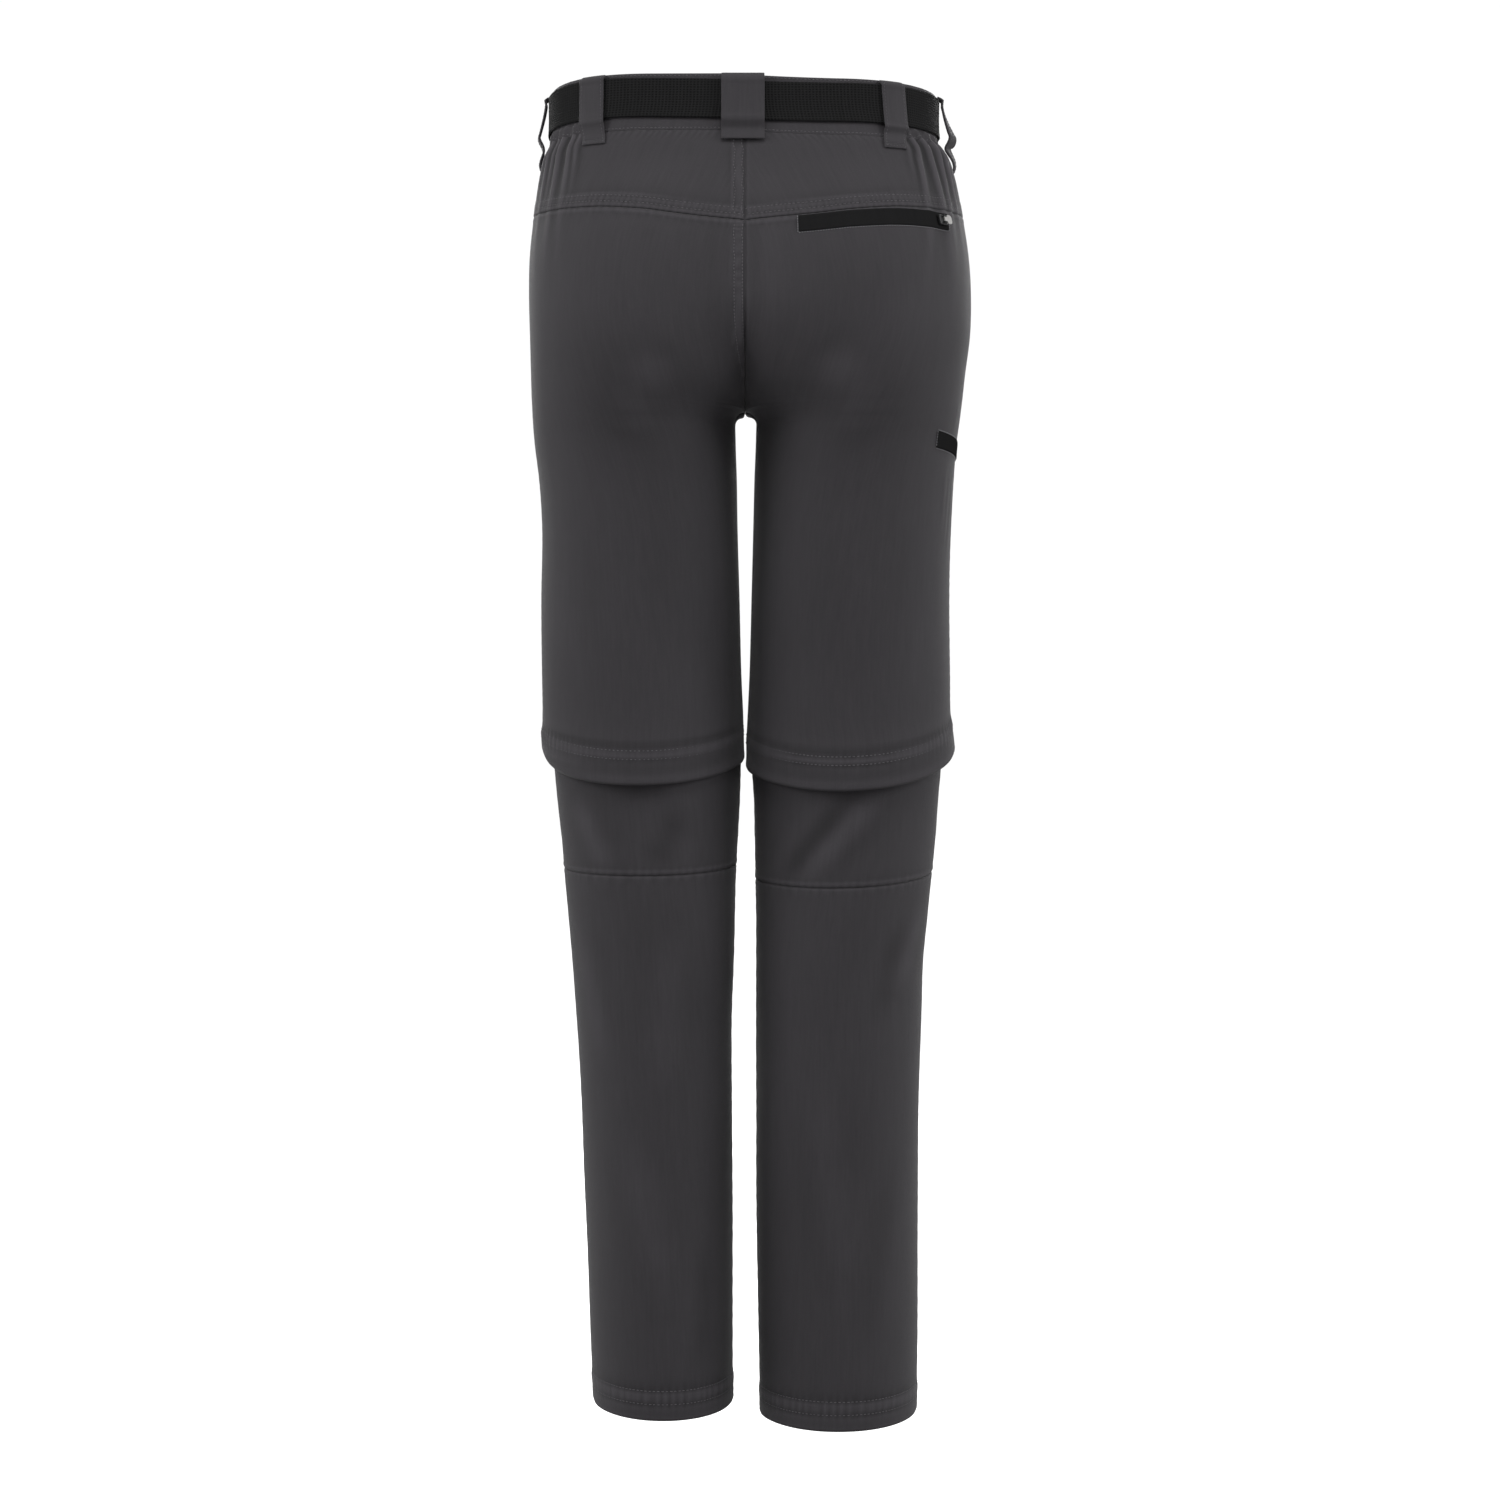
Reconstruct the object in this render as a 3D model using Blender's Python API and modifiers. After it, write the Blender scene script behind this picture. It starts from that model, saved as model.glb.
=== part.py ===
"""Convertible zip-off trousers, hollow, in the shape they keep on a standing figure.

The cloth is a wall of even thickness on one surface for each half of the garment. At any height
a half section runs from the side seam to a peak at the back or the front, and from there to the
centre seam (above the fork) or to the inseam (below it). Panels are the parts of that surface
between two seam lines. Everything that lies on a panel is made from its points, moved out.

Lengths in the tables are millimetres. +Z is up, the wearer's left is +X and the wearer's front
faces -Y. Height 0 is the waist at the side seam.
"""
import math

import bmesh
import bpy
import numpy as np
from mathutils import Matrix, Vector

MM = 0.001

# Driving sizes
WALL = 1.2
SEAM_GAP = 0.3
TAPE_WALL = 0.9
BELT_WALL = 2.0
BELT_WIDTH = 30.0
BELT_SIDE_Z = 0.0
BELT_BACK_DROP = 2.5
BELT_FRONT_DROP = 14.0
WAISTBAND_WIDTH = 43.5
WAIST_SIDE_Z = 2.0
WAIST_BACK_RISE = 1.0
WAIST_FRONT_DROP = 12.0
# The waist dips between the side and the centre back, more on the wearer's right
WAIST_DIP = {("right", "back"): 4.2}
FORK_Z = -245.0
FORK_RADIUS = 8.0
HALF_GAP = SEAM_GAP / 2
CROSS_HALF_GAP = 0.24

# Heights at which the centre seam starts to turn under towards the fork
TURN_START = {"back": -165.0, "front": -185.0}
FACE_SIGN = {"back": 1.0, "front": -1.0}
SIDE_SIGN = {"left": 1.0, "right": -1.0}
TRUNK_POWER = 2.3
LEG_POWER = 2.06
POWER_HEIGHTS = (-165.0, -330.0)

# Upper body, waist to the free edge of the flap over the leg zip: one row for each height
BODY_COLUMNS = ("z", "out_left", "out_right", "in_left", "in_right", "side_y", "back", "front",
                "mid_back", "mid_front", "inseam_y", "peak")
BODY_ROWS = (
    (4, 151.0, 149.5, 0.0, 0.0, -10, 96.0, -96.0, 95.0, -95.5, 10, 0.46),
    (-30, 151.3, 149.8, 0.0, 0.0, -10, 98.5, -99.0, 97.5, -98.5, 10, 0.46),
    (-42, 152.5, 151.5, 0.0, 0.0, -10, 101.0, -101.0, 100.0, -100.5, 10, 0.46),
    (-51, 157.0, 159.0, 0.0, 0.0, -10, 104.0, -103.5, 103.0, -103.0, 10, 0.46),
    (-62, 159.6, 163.0, 0.0, 0.0, -9, 107.5, -106.0, 106.0, -105.5, 10, 0.46),
    (-95, 164.6, 169.8, 0.0, 0.0, -8, 121.0, -111.0, 119.0, -110.0, 10, 0.46),
    (-125, 167.7, 173.9, 0.0, 0.0, -7, 131.0, -113.0, 127.5, -112.0, 10, 0.46),
    (-156, 168.5, 175.5, 0.0, 0.0, -6, 136.5, -113.5, 131.5, -112.0, 10, 0.46),
    (-187, 167.9, 174.7, 0.0, 0.0, -4, 137.0, -112.0, 132.0, -110.0, 10, 0.47),
    (-218, 166.9, 170.8, 0.0, 0.0, -2, 132.0, -109.0, 129.0, -107.0, 10, 0.48),
    (-245, 165.4, 167.7, 7.2, 8.2, 0, 124.0, -105.0, 122.0, -103.0, 10, 0.50),
    (-265, 163.8, 164.6, 7.0, 8.2, 0, 117.0, -101.0, 115.0, -100.0, 10, 0.50),
    (-297, 159.9, 162.2, 6.0, 7.0, 0, 109.0, -97.0, 107.0, -96.0, 9, 0.50),
    (-330, 157.6, 160.7, 5.5, 6.2, 0, 103.5, -94.0, 102.0, -93.0, 8, 0.50),
    (-390, 157.6, 159.1, 3.9, 4.7, 0, 97.0, -90.0, 95.0, -89.0, 7, 0.50),
    (-450, 157.6, 159.7, 2.4, 3.1, 0, 92.5, -87.0, 91.0, -86.0, 6, 0.50),
    (-484, 157.6, 160.7, 0.9, 1.5, 0, 91.0, -86.0, 90.0, -85.0, 5, 0.50),
    (-500, 158.2, 163.0, 0.5, 0.7, 0, 91.0, -86.5, 90.0, -85.0, 5, 0.50),
    (-516, 158.0, 163.5, 0.5, 0.7, 0, 91.5, -87.0, 90.0, -86.0, 5, 0.50),
    (-542, 157.5, 163.0, 0.6, 0.8, 0, 92.0, -87.5, 91.0, -86.0, 5, 0.50),
)

# Lower leg, leg zip to hem
LEG_ROWS = (
    (-480, 150.0, 154.2, 3.0, 4.4, 0, 84.5, -79.0, 84, -79, 5, 0.50),
    (-515, 148.6, 152.9, 3.1, 5.0, 0, 84.0, -79.0, 84, -79, 5, 0.50),
    (-546, 145.9, 149.8, 3.9, 7.0, 0, 82.5, -79.5, 82, -79, 4, 0.50),
    (-577, 142.7, 147.4, 5.5, 7.6, 0, 81.0, -80.0, 81, -80, 4, 0.50),
    (-608, 140.4, 144.3, 7.0, 8.1, 0, 80.0, -80.0, 80, -80, 3, 0.50),
    (-640, 137.3, 141.2, 7.8, 8.6, 0, 79.5, -79.0, 79, -79, 3, 0.50),
    (-671, 134.2, 138.1, 8.6, 8.6, 0, 79.5, -77.0, 79, -77, 3, 0.50),
    (-710, 131.2, 137.0, 10.1, 8.6, 0, 80.0, -75.0, 80, -75, 2, 0.50),
    (-780, 127.1, 135.7, 10.1, 8.6, 0, 80.0, -74.0, 80, -74, 2, 0.50),
    (-858, 124.0, 134.9, 9.4, 8.6, 0, 79.0, -73.0, 79, -73, 2, 0.50),
    (-936, 120.9, 134.6, 9.4, 10.1, 0, 78.0, -72.5, 78, -72, 2, 0.50),
    (-1000, 117.8, 133.0, 9.4, 11.4, 0, 77.5, -72.5, 77, -72, 2, 0.50),
    (-1026, 116.6, 132.4, 9.4, 11.8, 0, 77.5, -72.5, 77, -72, 2, 0.50),
)

# Yoke seam, from the side seam (u = 0) to the centre back (u = 1)
YOKE_COLUMNS = ("u", "z")
YOKE_ROWS = ((0, -93), (0.18, -98), (0.3, -99.5), (0.4, -101), (0.5, -103.5), (0.62, -107),
             (0.78, -110.3), (1, -112.6))

# Seam lines across a leg: height at the side seam, at the inseam, and how far the middle hangs
FLAP_EDGE = {"left": (-515.5, -514.0, 19.0, 6.0), "right": (-508.5, -520.5, 23.5, 6.0)}
KNEE_SEAM = {"left": (-598.0, -596.0, 5.5, 0.0), "right": (-601.0, -607.0, 7.7, 0.0)}
HEM_LINE = {"left": (-1011.0, -1012.5, 4.2, 0.0), "right": (-1020.0, -1021.5, 3.4, 0.0)}
FLAP_OVERLAP = 6.0
ZIP_TAPE_WIDTH = 18.0
FLAP_CURL = {"left": 6.0, "right": 0.6}
FLAP_CURL_HEIGHT = 14.0
FLAP_CURL_REACH = 0.45
LEG_ZIP_CLEARANCE = 0.5
KNEE_ROWS = 5
LOWER_ROWS = 9

# Gathers of the side elastic: folds, share of u, height of a fold, fall to nothing
GATHERS = {"back": (9, 0.36, 2.6), "front": (2, 0.12, 2.0)}
GATHER_FALL = 30.0
GATHER_START_Z = -36.0
GATHER_RISE = 8.0
GATHER_FULL_Z = -42.0

# Belt loops: name, side, face, distance of the middle from the centre plane (0 at a side seam),
# width, lowest point, how far its forward and its rear edge stand off, outward lean of its foot
LOOP_ROWS = (
    ("belt_loop_rear_left", "left", "back", 116.5, 17.5, -51.0, 0.4, 0.4, 0.0),
    ("belt_loop_rear_right", "right", "back", 112.5, 17.0, -54.5, 0.4, 0.4, 3.6),
    ("belt_loop_side_left", "left", "back", 0.0, 14.0, -55.0, 6.5, 5.5, 0.0),
    ("belt_loop_side_right", "right", "back", 0.0, 14.0, -57.0, 12.3, 6.4, 0.0),
    ("belt_loop_front_left", "left", "front", 98.0, 14.0, -57.0, 0.4, 0.4, 0.0),
    ("belt_loop_front_right", "right", "front", 97.0, 14.0, -57.0, 0.4, 0.4, 0.0),
)
SIDE_LOOP_SAG = 1.6
LOOP_SAMPLES = np.linspace(0.0, 0.6, 121)
CENTRE_LOOP_WIDTH = 31.5
CENTRE_LOOP_X = 1.4
CENTRE_LOOP_BOTTOM = -48.0
CENTRE_LOOP_STAND_OFF = 0.3
LOOP_WALL = 1.4
LOOP_CLEARANCE = 0.8

# Pocket zips on the wearer's right
BACK_ZIP_WIDTH = 12.6
BACK_ZIP_U = (0.225, 0.665)
BACK_ZIP_DROP = 1.0
BACK_ZIP_OUTER_DROP = 2.4
BAND_CLEARANCE = 0.5
THIGH_ZIP_WIDTH = 12.5
THIGH_ZIP_BACK_U = 0.23
THIGH_ZIP_FRONT_U = 0.20
THIGH_ZIP_Z = (-271.2, -279.0)
ZIP_COLUMNS = 15
SLIDER_SIZE = (9.0, 7.6, 2.4)
LUG_SIZE = (2.6, 1.2, 2.2)
TAB_ROOT_WIDTH = 3.2
TAB_WIDTH = 6.9
TAB_LENGTH = 9.0
TAB_WALL = 1.0
TAB_TAIL = 0.5
TAB_SHOULDER = (2.6, 3.6)
TAB_CORNER = 2.2
LUG_SINK = 0.3
SLIDER_EDGE = 0.6
PIN_HEIGHT = 1.1

# Front closure
FLY_WIDTH = 38.0
FLY_BOTTOM = -205.0
FLY_CLEARANCE = 0.55
FLY_TOP_CLEARANCE = 0.4
FLY_CURVE = 49.4
SNAP_RADIUS = 7.5
SNAP_HEIGHT = 1.5
BELT_RISE = 3.4
BELT_RISE_REACH = 34.0
BUCKLE_SIZE = (44.0, 36.0)
BUCKLE_WALL = 4.0
BUCKLE_Z = -29.0
BELT_FRONT_TOP = -14.0
BELT_FRONT_BOTTOM = -44.0

# Finishes: colour, roughness, metallic
FINISHES = {
    "cloth": ((0.055, 0.053, 0.060), 0.75, 0.0),
    "webbing": ((0.014, 0.014, 0.014), 0.8, 0.0),
    "zip_tape": ((0.015, 0.015, 0.015), 0.8, 0.0),
    "black_metal": ((0.02, 0.02, 0.02), 0.4, 0.6),
    "bright_metal": ((0.62, 0.62, 0.62), 0.3, 1.0),
}


def table(columns, rows):
    """A table as named arrays, in rising order of its first column."""
    values = np.array(sorted(rows), dtype=float)
    return {name: values[:, k] for k, name in enumerate(columns)}


BODY = table(BODY_COLUMNS, BODY_ROWS)
LEG = table(BODY_COLUMNS, LEG_ROWS)
YOKE = table(YOKE_COLUMNS, YOKE_ROWS)


def read(data, key, name, at):
    """Reads a column as a smooth curve: cubic pieces whose slopes come from the neighbours."""
    xs, ys = data[key], data[name]
    at = np.asarray(at, dtype=float)
    slopes = np.gradient(ys, xs)
    k = np.clip(np.searchsorted(xs, at, side="right") - 1, 0, len(xs) - 2)
    span = xs[k + 1] - xs[k]
    t = np.clip((at - xs[k]) / span, 0.0, 1.0)
    start = (1 + 2 * t) * (1 - t) ** 2 * ys[k] + t * (1 - t) ** 2 * span * slopes[k]
    end = t * t * (3 - 2 * t) * ys[k + 1] + t * t * (t - 1) * span * slopes[k + 1]
    return start + end


def ease(t):
    """Runs from 0 to 1 with level ends."""
    t = np.clip(t, 0.0, 1.0)
    return t * t * (3 - 2 * t)


def line(curve, face, u):
    """Height of a seam line across a leg."""
    side, inner, back_dip, front_dip = curve
    dip = back_dip if face == "back" else front_dip
    return side + (inner - side) * u - dip * np.sin(np.pi * u) ** 1.2


def waist_dip(side, face, u):
    """How far the waist and the belt dip between the side and the centre."""
    return WAIST_DIP.get((side, face), 0.0) * np.sin(np.pi * u ** 0.6)


def waistband_top(side, face, u):
    """Upper edge of the waistband; the front is cut lower, and the back a little higher."""
    drop = WAIST_FRONT_DROP * ease(u) if face == "front" else -WAIST_BACK_RISE * u
    return WAIST_SIDE_Z - drop - waist_dip(side, face, u)


def waistband_bottom(side, face, u):
    return waistband_top(side, face, u) - WAISTBAND_WIDTH


def belt_top(side, face, u):
    """Upper edge of the belt; it sits lower at the back and the front than at the side."""
    drop = BELT_FRONT_DROP * ease(u) if face == "front" else BELT_BACK_DROP * u
    return BELT_SIDE_Z - drop - waist_dip(side, face, u)


def belt_bottom(side, face, u):
    return belt_top(side, face, u) - BELT_WIDTH


def yoke_line(u):
    return read(YOKE, "u", "z", u)


def inner_x(data, side, z):
    """Distance of the inner edge from the middle: the centre seam, then the arch, then the leg."""
    below = np.clip(FORK_Z - z, 0.0, FORK_RADIUS)
    arch = np.sqrt(FORK_RADIUS ** 2 - (FORK_RADIUS - below) ** 2) / FORK_RADIUS
    leg = np.maximum(read(data, "z", "in_" + side, np.minimum(z, FORK_Z)), HALF_GAP)
    return HALF_GAP + (leg - HALF_GAP) * arch


def middle_x(data, side, z):
    """Where the section peaks at the back or the front; it moves out as the legs part."""
    share = read(data, "z", "peak", z)
    parted = ease((TURN_START["back"] - z) / (1.3 * (TURN_START["back"] - FORK_Z)))
    inside = read(data, "z", "in_" + side, np.minimum(z, FORK_Z)) * parted
    return inside + share * (read(data, "z", "out_" + side, z) - inside)


def turn(face, z):
    """1 where the centre seam hangs straight, falling to 0 at the fork as a quarter ellipse."""
    start = TURN_START[face]
    share = np.clip((start - z) / (start - FORK_Z), 0.0, 1.0)
    return np.sqrt(1.0 - share ** 2), share


def gather_crest(face, u, z):
    """Height of the crests of the folds under the side elastic, most at the waistband seam."""
    _, reach, height = GATHERS[face]
    place = u / reach
    fade = np.clip(1.15 - place, 0.0, 1.0) ** 0.5
    below = np.clip(GATHER_FULL_Z - z, 0.0, None)
    fall = np.exp(-(below / GATHER_FALL) ** 1.5) * ease((GATHER_START_Z - z) / GATHER_RISE)
    return height * (0.75 + 0.25 * np.sin(5.0 * place + 1.0)) * fade * fall


def gather_relief(side, face, u, z):
    """The folds themselves, uneven in width and height."""
    folds, reach, _ = GATHERS[face]
    place = u / reach
    phase = 2 * np.pi * folds * place + 0.7 * np.sin(9.0 * place)
    return gather_crest(face, u, z) * (0.5 - 0.5 * np.cos(phase))


def surface(data, side, face, u, z):
    """Point on the outer face of the cloth: u runs from the side seam (0) to the inner edge (1)."""
    u, z = np.broadcast_arrays(np.asarray(u, float), np.asarray(z, float))
    out = read(data, "z", "out_" + side, z)
    inner = inner_x(data, side, z)
    peak_x = middle_x(data, side, z)
    trunk_share = ease((z - POWER_HEIGHTS[1]) / (POWER_HEIGHTS[0] - POWER_HEIGHTS[1]))
    power = LEG_POWER + (TRUNK_POWER - LEG_POWER) * trunk_share
    side_y = read(data, "z", "side_y", z)
    peak_y = read(data, "z", face, z)
    straight, share = turn(face, z)
    inseam = read(data, "z", "inseam_y", z)
    inner_y = inseam + (read(data, "z", "mid_" + face, z) - inseam) * straight
    outer_angle = np.clip(u / 0.5, 0.0, 1.0) * np.pi / 2
    inner_angle = np.clip((u - 0.5) / 0.5, 0.0, 1.0) * np.pi / 2
    outer_x = peak_x + (out - peak_x) * np.abs(np.cos(outer_angle)) ** (2 / power)
    outer_y = side_y + (peak_y - side_y) * np.sin(outer_angle) ** (2 / power)
    roundness = 2.0 / (1.0 + share)
    x = np.where(u <= 0.5, outer_x, peak_x - (peak_x - inner) * np.sin(inner_angle))
    y = np.where(u <= 0.5, outer_y,
                 inner_y + (peak_y - inner_y) * np.abs(np.cos(inner_angle)) ** roundness)
    return np.stack([SIDE_SIGN[side] * x, y, z], axis=-1)


def normals(points):
    """Outward normals of a grid whose columns run round the body and whose rows run down."""
    across = np.gradient(points, axis=1)
    down = np.gradient(points, axis=0)
    cross = np.cross(across, down)
    return cross / np.linalg.norm(cross, axis=-1, keepdims=True)


def outward_order(side, face):
    """True where columns must run from the inner edge to the side seam to face outwards."""
    return (side == "left") == (face == "back")


def panel_points(data, side, face, us, heights, relief=None):
    """Grid of a panel. heights has a row for each level and a column for each u."""
    grid_u = np.broadcast_to(us, heights.shape)
    points = surface(data, side, face, grid_u, heights)
    at_seam = (grid_u == 0.0) | ((grid_u == 1.0) & (heights <= FORK_Z))
    points[..., 1] += np.where(at_seam, FACE_SIGN[face] * HALF_GAP, 0.0)
    if outward_order(side, face):
        points = points[:, ::-1]
        grid_u = grid_u[:, ::-1]
        heights = heights[:, ::-1]
    if relief is not None:
        points = points + normals(points) * relief(side, face, grid_u, heights)[..., None]
    return points


def ring_points(data, us, parts, lines):
    """Joins panels in order round the body. A part is (side, face, True where u rises along it),
    and each line gives the height of a row for a side, a face and its us."""
    grids = []
    for side, face, rising in parts:
        places = us if rising else us[::-1]
        rows = np.stack([height(side, face, places) for height in lines])
        grids.append(surface(data, side, face, np.broadcast_to(places, rows.shape), rows))
    return np.concatenate([g if k == 0 else g[:, 1:] for k, g in enumerate(grids)], axis=1)


def material(name):
    """A Principled material with this finish."""
    found = bpy.data.materials.get(name)
    if found:
        return found
    colour, roughness, metallic = FINISHES[name]
    made = bpy.data.materials.new(name)
    made.use_nodes = True
    shader = made.node_tree.nodes["Principled BSDF"]
    shader.inputs["Base Color"].default_value = (*colour, 1.0)
    shader.inputs["Roughness"].default_value = roughness
    shader.inputs["Metallic"].default_value = metallic
    return made


def place(obj, finish, collection):
    for other in list(obj.users_collection):
        other.objects.unlink(obj)
    collection.objects.link(obj)
    obj.data.materials.clear()
    obj.data.materials.append(material(finish))
    return obj


def sheet(name, points, finish, wall, closed=False):
    """A wall: quads on a grid of points that face outwards, thickened inwards by Solidify."""
    rows, columns = points.shape[:2]
    if closed:
        points = points[:, :-1]
        columns -= 1
    index = np.arange(rows * columns).reshape(rows, columns)
    right = np.roll(index, -1, axis=1)
    last = columns if closed else columns - 1
    quads = np.stack([index[:-1, :last], right[:-1, :last], right[1:, :last], index[1:, :last]],
                     axis=-1).reshape(-1, 4)
    mesh = bpy.data.meshes.new(name)
    mesh.from_pydata((points.reshape(-1, 3) * MM).tolist(), [], quads.tolist())
    mesh.shade_smooth()
    obj = bpy.data.objects.new(name, mesh)
    place(obj, finish, PARTS)
    solid = obj.modifiers.new("cloth_wall", "SOLIDIFY")
    solid.thickness = wall * MM
    solid.offset = -1.0
    return obj


def flap_relief(side, face, u, z):
    """Gathers above; below, the free edge of the flap draws inwards, most at the outer side."""
    above = z - line(FLAP_EDGE[side], face, u)
    pull = np.clip(1.0 - above / FLAP_CURL_HEIGHT, 0.0, 1.0) ** 2
    curl = FLAP_CURL[side] * pull * (1.0 - ease(u / FLAP_CURL_REACH))
    return gather_relief(side, face, u, z) - curl


def levels(top, bottom, fixed):
    """Rows of heights between two seam lines. Fixed heights keep their place away from both."""
    fixed = np.asarray(fixed, float)[:, None]
    first, last = float(fixed[0, 0]), float(fixed[-1, 0])
    middle = FORK_Z if first > FORK_Z > last else (first + last) / 2
    near_top = np.clip((fixed - middle) / (first - middle), 0.0, 1.0) ** 1.5
    near_bottom = np.clip((middle - fixed) / (middle - last), 0.0, 1.0) ** 1.5
    return fixed + (top - first) * near_top + (bottom - last) * near_bottom


def turn_levels(face, angles):
    """Heights spaced evenly along the centre seam's turn under the seat."""
    start = TURN_START[face]
    return [start - (start - FORK_Z) * math.sin(math.radians(a)) for a in angles]


# Places round a half at which a panel has a column, closer beside a seam and along the gathers
YOKE_US = np.concatenate([np.linspace(0.0, 0.36, 37), np.linspace(0.42, 0.98, 8), [1.0]])
BACK_US = np.array([0, 0.02, 0.1, 0.2, 0.3, 0.4, 0.5, 0.6, 0.7, 0.8, 0.88, 0.94, 0.985, 1])
FRONT_US = np.concatenate([np.linspace(0.0, 0.12, 9),
                           [0.2, 0.3, 0.4, 0.5, 0.62, 0.75, 0.87, 0.95, 0.985, 1.0]])
LEG_US = np.array([0, 0.02, 0.12, 0.24, 0.36, 0.5, 0.62, 0.75, 0.88, 0.98, 1])
WAIST_US = np.concatenate([[0.0, 0.02], np.linspace(0.1, 0.9, 9), [0.98, 1.0]])

# The waist from the centre back round the left, the front and the right: side, face, u rising
LEFT_BACK = ("left", "back", False)
LEFT_FRONT = ("left", "front", True)
RIGHT_FRONT = ("right", "front", False)
RIGHT_BACK = ("right", "back", True)
BACK_RING = (RIGHT_BACK, LEFT_BACK)


# Heights at which a panel has a row: its seams, the turn to the fork, the arch, then the leg
YOKE_DROPS = np.array([0.0, 0.14, 0.34, 0.62, 1.0])[:, None]
BACK_SEAT_ROWS = [-112.6, -138.0]
BACK_TURN_ANGLES = (0, 22, 40, 56, 69, 80, 90)
FRONT_SEAT_ROWS = [-53.5, -62.0, -76.0, -98.0, -130.0, -160.0]
FRONT_TURN_ANGLES = (0, 26, 47, 64, 78, 90)
ARCH_ROWS = [-246.6, -249.0, -253.5, -262.0]
BACK_LEG_ROWS = [-280.0, -310.0, -350.0, -400.0, -450.0, -495.0, -519.5, -527.0, -534.0]
FRONT_LEG_ROWS = [-285.0, -330.0, -385.0, -440.0, -485.0, -506.0, -514.0, -520.5]


def build_body(side):
    """Yoke, back panel and front panel of one half."""
    top = waistband_bottom(side, "back", YOKE_US) - SEAM_GAP
    heights = top + (yoke_line(YOKE_US) + CROSS_HALF_GAP - top) * YOKE_DROPS
    sheet("back_yoke_" + side,
          panel_points(BODY, side, "back", YOKE_US, heights, gather_relief), "cloth", WALL)

    fixed = BACK_SEAT_ROWS + turn_levels("back", BACK_TURN_ANGLES) + ARCH_ROWS + BACK_LEG_ROWS
    edge = line(FLAP_EDGE[side], "back", BACK_US)
    heights = levels(yoke_line(BACK_US) - CROSS_HALF_GAP, edge, fixed)
    sheet("back_panel_" + side,
          panel_points(BODY, side, "back", BACK_US, heights, flap_relief), "cloth", WALL)

    fixed = FRONT_SEAT_ROWS + turn_levels("front", FRONT_TURN_ANGLES) + ARCH_ROWS + FRONT_LEG_ROWS
    edge = line(FLAP_EDGE[side], "front", FRONT_US)
    heights = levels(waistband_bottom(side, "front", FRONT_US) - SEAM_GAP, edge, fixed)
    sheet("front_panel_" + side,
          panel_points(BODY, side, "front", FRONT_US, heights, flap_relief), "cloth", WALL)


def build_leg(side):
    """Leg zip, knee band and lower leg of one side."""
    for face in ("back", "front"):
        flap, knee, hem = (line(edge[side], face, LEG_US) for edge in (FLAP_EDGE, KNEE_SEAM, HEM_LINE))
        top, bottom = flap + FLAP_OVERLAP, knee + HALF_GAP
        heights = top + (bottom - top) * np.linspace(0.0, 1.0, KNEE_ROWS)[:, None]
        sheet(f"knee_band_{face}_{side}", panel_points(LEG, side, face, LEG_US, heights), "cloth",
              WALL)
        top = knee - HALF_GAP
        heights = top + (hem - top) * np.linspace(0.0, 1.0, LOWER_ROWS)[:, None]
        sheet(f"lower_leg_{face}_{side}", panel_points(LEG, side, face, LEG_US, heights), "cloth",
              WALL)

    columns = {"back": BACK_US, "front": FRONT_US}
    order = ("back", "front") if side == "left" else ("front", "back")
    grids = []
    for face, ring_us in ((order[0], columns[order[0]][::-1]), (order[1], columns[order[1]])):
        rise = np.array([1.0, 0.5, 0.0])[:, None]
        heights = line(FLAP_EDGE[side], face, ring_us) + FLAP_OVERLAP + SEAM_GAP + ZIP_TAPE_WIDTH * rise
        low = surface(LEG, side, face, np.broadcast_to(ring_us, heights.shape), heights)
        high = surface(BODY, side, face, np.broadcast_to(ring_us, heights.shape), heights)
        high = high - normals(high) * (WALL + LEG_ZIP_CLEARANCE)
        grids.append(low + (high - low) * ease(rise)[..., None])
    ring = np.concatenate([grids[0], grids[1][:, 1:]], axis=1)
    sheet("leg_zip_" + side, ring, "zip_tape", TAPE_WALL, closed=True)


def build_waist():
    """Waistband in three pieces, and the belt round it."""
    rows = (waistband_top, belt_top, belt_bottom, waistband_bottom)
    middle = WAIST_US.size - 1
    back = ring_points(BODY, WAIST_US, BACK_RING, rows)
    back[:, middle, 0] = 0.0
    back[:, (0, -1), 1] += HALF_GAP
    sheet("waistband_back", back, "cloth", WALL)
    for side, part in (("left", LEFT_FRONT), ("right", RIGHT_FRONT)):
        front = ring_points(BODY, WAIST_US, (part,), rows)
        front[:, 0 if side == "left" else -1, 1] -= HALF_GAP
        sheet("waistband_front_" + side, front, "cloth", WALL)

    belt = ring_points(BODY, WAIST_US, (LEFT_BACK, LEFT_FRONT, RIGHT_FRONT, RIGHT_BACK),
                       (belt_top, belt_bottom))
    belt[:, (0, 2 * middle, -1), 0] = 0.0
    out = normals(belt)
    out[:, (0, -1)] = (0.0, 1.0, 0.0)
    rise = BELT_RISE * np.exp(-(belt[..., 0] / BELT_RISE_REACH) ** 2)
    distance = SEAM_GAP + BELT_WALL + np.where(belt[..., 1] < 0, rise, 0.0)
    sheet("belt", belt + out * distance[..., None], "webbing", BELT_WALL, closed=True)


def loop_rows(top, belt_edge, bottom):
    """Heights down a loop, the share of its length there, and how far its outer face lies off
    the cloth: close at both ends, over the belt between."""
    rest = SEAM_GAP + LOOP_WALL
    over = SEAM_GAP + BELT_WALL + LOOP_CLEARANCE + LOOP_WALL
    low = belt_edge - BELT_WIDTH
    heights = np.array([top, belt_edge + 0.5, belt_edge - 4.0, belt_edge - 11.0, belt_edge - 19.0,
                        low + 4.0, low - 0.8, low - 3.4, low - 6.0, bottom])
    distance = np.array([rest, over, over, over, over, over, over, (rest + over) / 2, rest, rest])
    return heights, (top - heights) / (top - bottom), distance


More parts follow.
